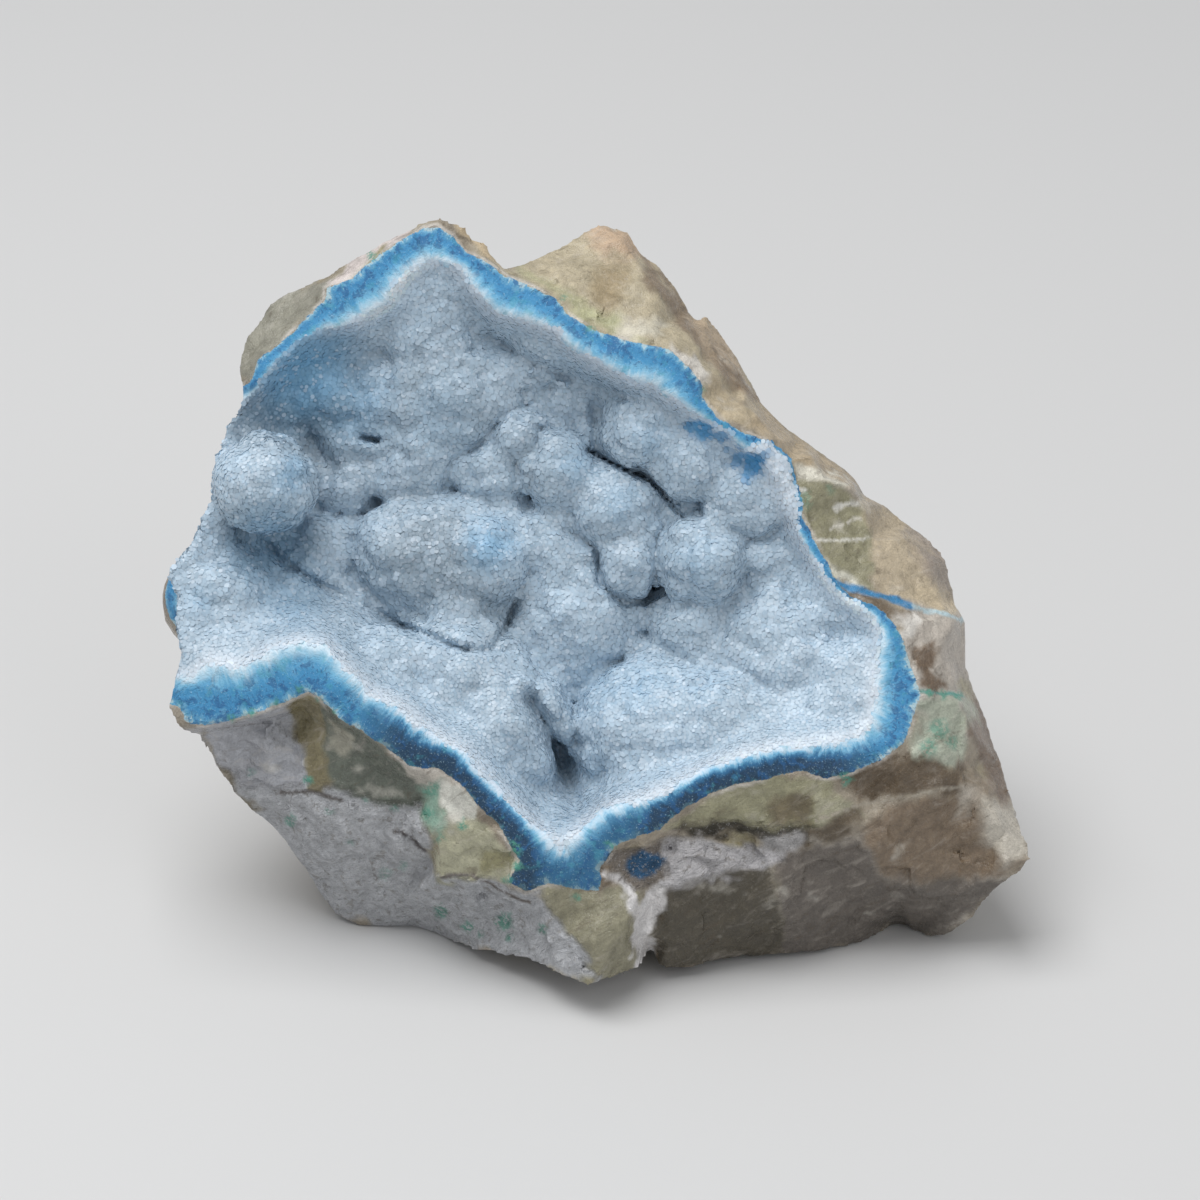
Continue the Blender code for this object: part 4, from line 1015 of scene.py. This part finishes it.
def stone_material():
    """The broken quartz and the blue crust, which meet along an uneven line."""
    g = Graph("quartz_and_crust")
    tint = g.attr("tint", "Color")
    chalk = g.attr("chalk")
    green = g.attr("green")
    lay = g.attr("lay", "Vector")
    streaks = g.noise(g.stretched((0.42, 1.25, 1.0), source=lay), 1.0, 6, 0.60, 1.3)
    veils = g.noise(g.stretched((0.20, 0.52, 0.42), source=lay), 1.0, 7, 0.70, 1.4)
    cloud = g.noise(g.stretched((900, 900, 900)), 1.0, 6, 0.6, 0.6)
    grit = g.noise(g.stretched((5600, 5600, 5600)), 1.0, 3, 0.6)
    glass = g.math("SUBTRACT", 1.0, chalk, True)
    shade = g.math("ADD", g.math("MULTIPLY", streaks, 0.42), g.math("MULTIPLY", cloud, 0.58))
    shade = g.span(shade, 0.30, 0.70, 0.78, 1.18)
    shade = g.math("MULTIPLY", shade, g.span(grit, 0.25, 0.75, 0.88, 1.10))
    colour = g.mix(1.0, tint, shade, "MULTIPLY")
    # milky veils, smoky depths and healed cracks
    colour = g.mix(g.math("MULTIPLY", g.math("MULTIPLY", g.span(veils, 0.50, 0.78), glass), 0.45), colour, srgb(192, 184, 174))
    colour = g.mix(g.math("MULTIPLY", g.math("MULTIPLY", g.span(veils, 0.44, 0.34), glass), 0.40), colour, srgb(80, 66, 48))
    line = g.math("ABSOLUTE", g.math("SUBTRACT", streaks, 0.5))
    line = g.math("MULTIPLY", g.span(line, 0.0, 0.009, 1.0, 0.0), g.span(cloud, 0.5, 0.60))
    colour = g.mix(g.math("MULTIPLY", g.math("MULTIPLY", line, glass), 0.22), colour, srgb(214, 209, 200))
    pits = g.span(g.cells(g.stretched((1700, 1700, 1700)), 1.0), 0.10, 0.24, 1.0, 0.0)
    colour = g.mix(g.math("MULTIPLY", g.math("MULTIPLY", pits, g.span(cloud, 0.55, 0.68)), 0.5), colour, srgb(74, 62, 48))
    dust = g.math("MULTIPLY", g.span(g.noise(g.stretched((3800, 3800, 3800)), 1.0, 3, 0.7), 0.56, 0.68), chalk)
    colour = g.mix(g.math("MULTIPLY", dust, 0.5), colour, srgb(206, 205, 205))
    stain = g.math("MULTIPLY", g.span(g.noise(g.stretched((1200, 1200, 1200)), 1.0, 4, 0.65), 0.56, 0.66), chalk)
    colour = g.mix(g.math("MULTIPLY", stain, 0.45), colour, srgb(112, 104, 92))
    # the crust
    blue, fibre = crust_colour(g, cloud, grit)
    ragged = g.math("ADD", g.attr("edge"), g.math("MULTIPLY", g.math("SUBTRACT", cloud, 0.5), 0.7))
    ragged = g.math("ADD", ragged, g.math("MULTIPLY", g.math("SUBTRACT", grit, 0.5), 0.25))
    on_crust = g.span(ragged, -0.04, 0.04)
    colour = g.mix(on_crust, colour, blue)
    spot = g.math("MULTIPLY", green, g.span(g.noise(g.stretched((2600, 2600, 2600)), 1.0, 2, 0.6), 0.36, 0.52), True)
    colour = g.mix(spot, colour, g.mix(cloud, srgb(48, 118, 106), srgb(96, 172, 148)))
    g.put(g.shader.inputs["Base Color"], colour)
    rough = g.math("ADD", g.math("MULTIPLY", g.span(cloud, 0.3, 0.7, 0.16, 0.36), glass), g.math("MULTIPLY", chalk, 0.82))
    rough = g.math("ADD", g.math("MULTIPLY", rough, g.math("SUBTRACT", 1.0, on_crust, True)), g.math("MULTIPLY", on_crust, 0.68))
    g.put(g.shader.inputs["Roughness"], rough)
    folds = g.noise(g.stretched((0.42, 0.95, 0.8), source=lay), 1.0, 5, 0.6, 0.6)
    ridge = g.math("SUBTRACT", 1.0, g.math("ABSOLUTE", g.math("MULTIPLY", g.math("SUBTRACT", folds, 0.5), 4.0)), True)
    height = g.bump(g.math("MULTIPLY", ridge, chalk), 0.0007, 0.7)
    height = g.bump(g.math("ADD", streaks, g.math("MULTIPLY", g.math("SUBTRACT", fibre, streaks), on_crust)), 0.00017, 0.6, height)
    height = g.bump(g.math("ADD", g.math("MULTIPLY", cloud, 0.6), g.math("MULTIPLY", grit, 0.35)), 0.00038, 0.7, height)
    g.put(g.shader.inputs["Normal"], height)
    g.shader.inputs["IOR"].default_value = 1.54
    return g.mat


def lining_material():
    g = Graph("drusy_lining")
    tint = g.attr("tint", "Color")
    cloud = g.noise(g.stretched((900, 900, 900)), 1.0, 4, 0.6)
    wobble = g.noise(g.stretched((2300, 2300, 2300)), 1.0, 3, 0.65)
    sugar = g.cells(g.stretched((2100, 2100, 2100)), 1.0)
    fine = g.cells(g.stretched((4600, 4600, 4600)), 1.0)
    shade = g.math("MULTIPLY", g.span(sugar, 0.1, 0.7, 1.04, 0.93), g.span(cloud, 0.3, 0.7, 0.95, 1.04))
    shade = g.math("MULTIPLY", shade, g.span(wobble, 0.3, 0.7, 0.93, 1.05))
    colour = g.mix(1.0, tint, shade, "MULTIPLY")
    g.put(g.shader.inputs["Base Color"], colour)
    g.shader.inputs["Roughness"].default_value = 0.42
    g.shader.inputs["Subsurface Weight"].default_value = 0.25
    g.shader.inputs["Subsurface Radius"].default_value = (0.6, 0.85, 1.0)
    g.shader.inputs["Subsurface Scale"].default_value = 0.0006
    height = g.math("ADD", g.math("MULTIPLY", sugar, -0.9), g.math("MULTIPLY", fine, -0.3))
    g.put(g.shader.inputs["Normal"], g.bump(g.math("ADD", height, g.math("MULTIPLY", wobble, 0.5)), 0.00015, 0.7))
    return g.mat


def crystal_material():
    g = Graph("quartz_crystals")
    tint = g.attr("tint", "Color")
    cloud = g.noise(g.stretched((1500, 1500, 1500)), 1.0, 3, 0.6)
    colour = g.mix(1.0, tint, g.span(cloud, 0.3, 0.7, 0.92, 1.07), "MULTIPLY")
    g.put(g.shader.inputs["Base Color"], colour)
    g.put(g.shader.inputs["Roughness"], g.span(cloud, 0.3, 0.7, 0.34, 0.46))
    g.shader.inputs["IOR"].default_value = 1.50
    g.shader.inputs["Transmission Weight"].default_value = 0.08
    return g.mat


# lining colour: pale steel blue, whiter at the lip, with cyan tints, painted blue shade, and painted shade and light
p = what["p"]
lip = smoothstep(-1.6, -0.1, what["d_in"])
lining_tint = srgb(191, 206, 217)[None] * (1 + 0.10 * layered(p, 4.0, 601, 3)[:, None])
lining_tint = lining_tint * (1 - 0.8 * lip[:, None]) + srgb(228, 234, 240)[None] * 0.8 * lip[:, None]
# painted shade and painted light on the lining
lining_tint = lining_tint * what["painted_shade_and_light"][:, None]
# cyan tints and painted blue shade
cy = what["cyan_and_blue_shade"][:, None]
lining_tint = lining_tint * (1 - cy) + srgb(124, 184, 220)[None] * cy
sh = what["shows"][:, None]
lining_tint = lining_tint * (1 - sh) + srgb(84, 152, 198)[None] * sh
inner_v = what["inner"]
# The ground between the crystals is darker and bluer: partly the blue crust showing through, partly painted shade in
# the gaps.
between = lining_tint * np.array([0.78, 0.87, 0.94]) * (1 - 0.6 * lip[:, None]) + lining_tint * 0.6 * lip[:, None]
between = between * (1 - sh) + lining_tint * sh
tint = np.where((inner_v | (what["crust"] & (what["t"] > 0.55)))[:, None], between, what["tint"])
attribute(mesh, "tint", "FLOAT_COLOR", np.clip(tint, 0, 1))
attribute(mesh, "chalk", "FLOAT", what["chalk"])
turn = np.array([[0.87, 0.50, 0.0], [-0.50, 0.87, 0.0], [0.0, 0.0, 1.0]])
attribute(mesh, "lay", "FLOAT_VECTOR", np.stack(face_frame(right, down, out), -1) @ turn.T)
attribute(mesh, "green", "FLOAT", what["green"])
# Painted shade: the share of the darker crust ramp, on the lower stretch of the crust where its face turns down.
low = smoothstep(340, 410, right) * smoothstep(890, 835, right) * smoothstep(560, 640, down) * (1 - 0.45 * smoothstep(62, 38, np.abs(right - 590)))
attribute(mesh, "band", "FLOAT_VECTOR", np.stack([what["s"], what["t"], low], -1))

edge_t = what["t"][:, None]
# The crystals on the lining take its colour, with its painted shade and light.
crystal_tint = np.where(what["crust"][:, None], srgb(134, 186, 216)[None] * (1 - edge_t) + srgb(214, 228, 238)[None] * edge_t, lining_tint)
attribute(mesh, "edge", "FLOAT", what["edge"])
kind_v = np.where(inner_v, 1, 0)
kind_t = np.median(kind_v[tris], axis=1).astype(np.int32)
for mat in (stone_material(), lining_material()):
    mesh.materials.append(mat)
if len(mesh.polygons) == len(tris):
    tri_face = np.arange(len(tris))
else:
    tri_face = np.empty(len(tris), np.int32)
    mesh.loop_triangles.foreach_get("polygon_index", tri_face)
kind_f = np.zeros(len(mesh.polygons), np.int32)
kind_f[tri_face] = kind_t
mesh.polygons.foreach_set("material_index", kind_f)
# The stone is crisp at its broken edges and smooth between them; crust and lining have no crisp edges.
mesh.polygons.foreach_set("use_smooth", np.ones(len(mesh.polygons), bool))
mesh.set_sharp_from_angle(angle=math.radians(27))
ends = np.empty(len(mesh.edges) * 2, np.int32)
mesh.edges.foreach_get("vertices", ends)
crisp = np.zeros(len(mesh.edges), bool)
mesh.attributes["sharp_edge"].data.foreach_get("value", crisp)
crisp &= what["stone"][ends[0::2]] & what["stone"][ends[1::2]]
mesh.attributes["sharp_edge"].data.foreach_set("value", crisp)
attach(body, "root")
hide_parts(NODE)


# ---------------------------------------------------------------- the small crystals on the lining
def scatter(spacing, seed, weight_of, per_cell=2.6):
    """Even scatter of places on the lining's triangles: place, side it faces, and triangle."""
    rng = np.random.default_rng(seed)
    a, b, c = points[tris[:, 0]] / MM, points[tris[:, 1]] / MM, points[tris[:, 2]] / MM
    cross = np.cross(b - a, c - a)
    area = np.linalg.norm(cross, axis=1) / 2
    chance = area * per_cell / spacing ** 2 * weight_of
    number = np.floor(chance + rng.random(len(chance))).astype(int)
    t = np.repeat(np.arange(len(tris)), number)
    u, v = rng.random(len(t)), rng.random(len(t))
    over = u + v > 1
    u[over], v[over] = 1 - u[over], 1 - v[over]
    at = a[t] + (b[t] - a[t]) * u[:, None] + (c[t] - a[t]) * v[:, None]
    order = rng.permutation(len(at))
    tree = KDTree(len(at))
    for k in range(len(at)):
        tree.insert(at[k], k)
    tree.balance()
    free = np.ones(len(at), bool)
    chosen = []
    for k in order:
        if free[k]:
            chosen.append(k)
            free[[hit[1] for hit in tree.find_range(at[k], spacing)]] = False
    chosen = np.array(chosen)
    at, t = at[chosen], t[chosen]
    n = cross[t] / np.maximum(np.linalg.norm(cross[t], axis=1), 1e-12)[:, None]
    return at, n, t, u[chosen], v[chosen]


def crystal_points(at, axis, spin, radius, body_len, tip_len, sunk, full):
    """Vertices and triangles of hexagonal points; the short ones have no side faces."""
    n = len(at)
    side = np.cross(axis, np.where(np.abs(axis[:, 2:3]) < 0.8, [[0.0, 0.0, 1.0]], [[1.0, 0.0, 0.0]]))
    side /= np.linalg.norm(side, axis=1)[:, None]
    other = np.cross(axis, side)
    ring = []
    for k in range(6):
        w = spin + k * math.pi / 3
        ring.append(side * np.cos(w)[:, None] + other * np.sin(w)[:, None])
    ring = np.stack(ring, 1)
    low = at - axis * sunk[:, None]
    bottom = low[:, None] + ring * radius[:, None, None]
    if full:
        high = at + axis * body_len[:, None]
        shoulder = high[:, None] + ring * (radius * 0.70)[:, None, None]
        tip = high + axis * tip_len[:, None]
        v = np.concatenate([bottom, shoulder, tip[:, None]], 1)
        rounded = np.concatenate([ring * 0.90 + axis[:, None] * 0.44, ring * 0.60 + axis[:, None] * 0.80, axis[:, None]], 1)
        f = []
        for k in range(6):
            j = (k + 1) % 6
            f += [(k, j, 6 + j), (k, 6 + j, 6 + k), (6 + k, 6 + j, 12)]
        f += [(0, 2, 1), (0, 3, 2), (0, 4, 3), (0, 5, 4)]
        per = 13
    else:
        tip = at + axis * (body_len + tip_len)[:, None]
        v = np.concatenate([bottom, tip[:, None]], 1)
        rounded = np.concatenate([ring * 0.80 + axis[:, None] * 0.60, axis[:, None]], 1)
        f = [(k, (k + 1) % 6, 6) for k in range(6)] + [(0, 2, 1), (0, 3, 2), (0, 4, 3), (0, 5, 4)]
        per = 7
    f = np.array(f)
    faces = (f[None] + (np.arange(n) * per)[:, None, None]).reshape(-1, 3)
    return v.reshape(-1, 3), faces, per, rounded.reshape(-1, 3)


FACET, ROUND = 0.22, 0.48  # shares of a crystal's own face and of its rounded form in its shading
normal_buffer = np.empty(len(points) * 3, np.float32)
mesh.vertex_normals.foreach_get("vector", normal_buffer)
smooth_normal = normal_buffer.reshape(-1, 3).astype(np.float64)


def grow(name, spacing, seed, weight, size, full, per_cell=2.6):
    at, n, t, u, v = scatter(spacing, seed, weight, per_cell)
    rng = np.random.default_rng(seed + 77)
    k = len(at)
    lean = rng.normal(size=(k, 3))
    lean /= np.linalg.norm(lean, axis=1)[:, None]
    axis = n + lean * rng.uniform(0.02, 0.24, k)[:, None]
    axis /= np.linalg.norm(axis, axis=1)[:, None]
    radius = spacing * size * rng.uniform(0.80, 1.22, k)
    body_len = radius * rng.uniform(0.34, 0.80, k) * (1.0 if full else 0.0)
    tip_len = radius * (rng.uniform(0.26, 0.46, k) if full else rng.uniform(0.50, 0.82, k))
    sunk = radius * 0.16
    # The small faces shade partly like the ground they stand on, as milky crystals do.
    verts, faces, per, rounded = crystal_points(at, axis, rng.uniform(0, math.pi, k), radius, body_len, tip_len, sunk, full)
    a = np.stack([1 - u - v, u, v], -1)
    colour = (crystal_tint[tris[t]] * a[:, :, None]).sum(1)
    colour = colour * (1.04 + 0.03 * rng.normal(size=(k, 1)))
    white = (rng.random(k) < 0.14)[:, None] * 0.4
    colour = colour * (1 - white) + srgb(222, 230, 238)[None] * white
    colour = np.clip(colour, 0.02, 0.90)
    a, b, c = verts[faces[:, 0]], verts[faces[:, 1]], verts[faces[:, 2]]
    side = np.cross(b - a, c - a)
    side /= np.maximum(np.linalg.norm(side, axis=1), 1e-12)[:, None]
    ground = (smooth_normal[tris[t]] * np.stack([1 - u - v, u, v], -1)[:, :, None]).sum(1)
    ground = np.repeat(ground, len(faces) // k, axis=0)
    mixed = side[:, None] * FACET + rounded[faces] * ROUND + ground[:, None] * (1 - FACET - ROUND)
    away = (side * ground).sum(1) < -0.3
    mixed[away] = side[away][:, None]
    mixed /= np.maximum(np.linalg.norm(mixed, axis=2), 1e-12)[:, :, None]
    # They are bluer and darker at the foot, partly where the crust shines through and partly painted shade in the gaps
    # between them, and whiter at the tip.
    foot_blue_and_shade = np.array([0.80, 0.87, 0.93]) if full else np.array([0.88, 0.92, 0.96])
    shares = np.ones((per, 3))
    shares[:6] = foot_blue_and_shade
    shares[-1] = 1.08
    return verts, faces, np.clip(colour[:, None] * shares[None], 0.01, 0.92).reshape(-1, 3), mixed, k


inner_share = inner_v[tris].mean(axis=1)
r3, d3 = right[tris].mean(axis=1), down[tris].mean(axis=1)
is_inner = (inner_share > 0.5) * (1 - 0.72 * smoothstep(0.25, 0.6, what["shows"][tris].mean(axis=1)))
fine_zone = smoothstep(-0.2, 0.35, soft_noise(what["p"], 6.0, 611)[tris].mean(axis=1)
                       + smoothstep(600, 720, d3) * 0.9 + smoothstep(760, 900, r3) * 0.7 - 0.5
                       + 0.8 * smoothstep(3.2, 2.4, np.hypot(r3 - 262, d3 - 480) / 10))
crystal_mat = crystal_material()
total = len(tris)
for name, spacing, seed, weight, size, full in (
        ("crystals_coarse", 0.43, 11, is_inner * (1 - fine_zone), 0.66, True),
        ("crystals_fine", 0.30, 23, is_inner * 1.0 * np.maximum(fine_zone, 0.4), 0.72, False)):
    v, f, col, nrm, count = grow(name, spacing, seed, weight, size, full)
    pieces = int(math.ceil(len(f) / 190000))
    per_f = len(f) // count
    per_v = len(v) // count
    for k in range(pieces):
        lo, hi = count * k // pieces, count * (k + 1) // pieces
        part = mesh_from(f"{name}_{k + 1}", v[lo * per_v:hi * per_v] * MM, f[lo * per_f:hi * per_f] - lo * per_v)
        attribute(part, "tint", "FLOAT_COLOR", col[lo * per_v:hi * per_v])
        part.materials.append(crystal_mat)
        part.normals_split_custom_set(nrm[lo * per_f:hi * per_f].reshape(-1, 3).tolist())
        o = bpy.data.objects.new(f"{name}_{k + 1}", part)
        bpy.context.scene.collection.objects.link(o)
        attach(o, "root")
    total += len(f)
    print(name, count, "crystals", len(f), "triangles in", pieces, "pieces")
print("triangles in all", total)


# ---------------------------------------------------------------- floor, light and camera
def make_stage():
    floor_mesh = bpy.data.meshes.new("floor")
    e = 3.0
    floor_mesh.from_pydata([(-e, -e, 0), (e, -e, 0), (e, e, 0), (-e, e, 0)], [], [(0, 1, 2, 3)])
    floor = bpy.data.objects.new("floor", floor_mesh)
    bpy.context.scene.collection.objects.link(floor)
    mat = bpy.data.materials.new("pale_floor")
    mat.use_nodes = True
    shader = mat.node_tree.nodes["Principled BSDF"]
    shader.inputs["Base Color"].default_value = (0.62, 0.62, 0.62, 1)
    shader.inputs["Roughness"].default_value = 0.55
    floor_mesh.materials.append(mat)

    def panel(name, where, size, power, colour=(1, 1, 1)):
        light = bpy.data.lights.new(name, "AREA")
        light.shape = "RECTANGLE"
        light.size, light.size_y = size
        light.energy = power
        light.color = colour
        o = bpy.data.objects.new(name, light)
        o.location = where
        o.rotation_mode = "QUATERNION"
        o.rotation_quaternion = (Vector((0, 0, 0.03)) - Vector(where)).to_track_quat("-Z", "Y")
        bpy.context.scene.collection.objects.link(o)

    panel("key", (-0.15, -0.02, 0.62), (0.50, 0.42), 3.3)
    panel("fill", (0.55, -0.55, 0.45), (0.6, 0.6), 1.1)
    world = bpy.data.worlds.new("studio")
    world.use_nodes = True
    world.node_tree.nodes["Background"].inputs["Color"].default_value = (0.86, 0.87, 0.88, 1)
    world.node_tree.nodes["Background"].inputs["Strength"].default_value = 0.50
    bpy.context.scene.world = world

    cam_data = bpy.data.cameras.new("camera")
    cam_data.sensor_width = 36.0
    cam_data.lens = 36.0 * EYE / 120.0
    cam_data.clip_start, cam_data.clip_end = 0.01, 20.0
    cam = bpy.data.objects.new("camera", cam_data)
    aim = Vector((SHIFT_X, SHIFT_Y, LIFT)) * MM
    back_way = Vector((0.0, -math.cos(LEAN), math.sin(LEAN)))
    cam.location = aim + back_way * EYE * MM
    cam.rotation_mode = "QUATERNION"
    cam.rotation_quaternion = (-back_way).to_track_quat("-Z", "Y")
    bpy.context.scene.collection.objects.link(cam)
    bpy.context.scene.camera = cam
    bpy.context.scene.view_settings.view_transform = "Standard"


make_stage()
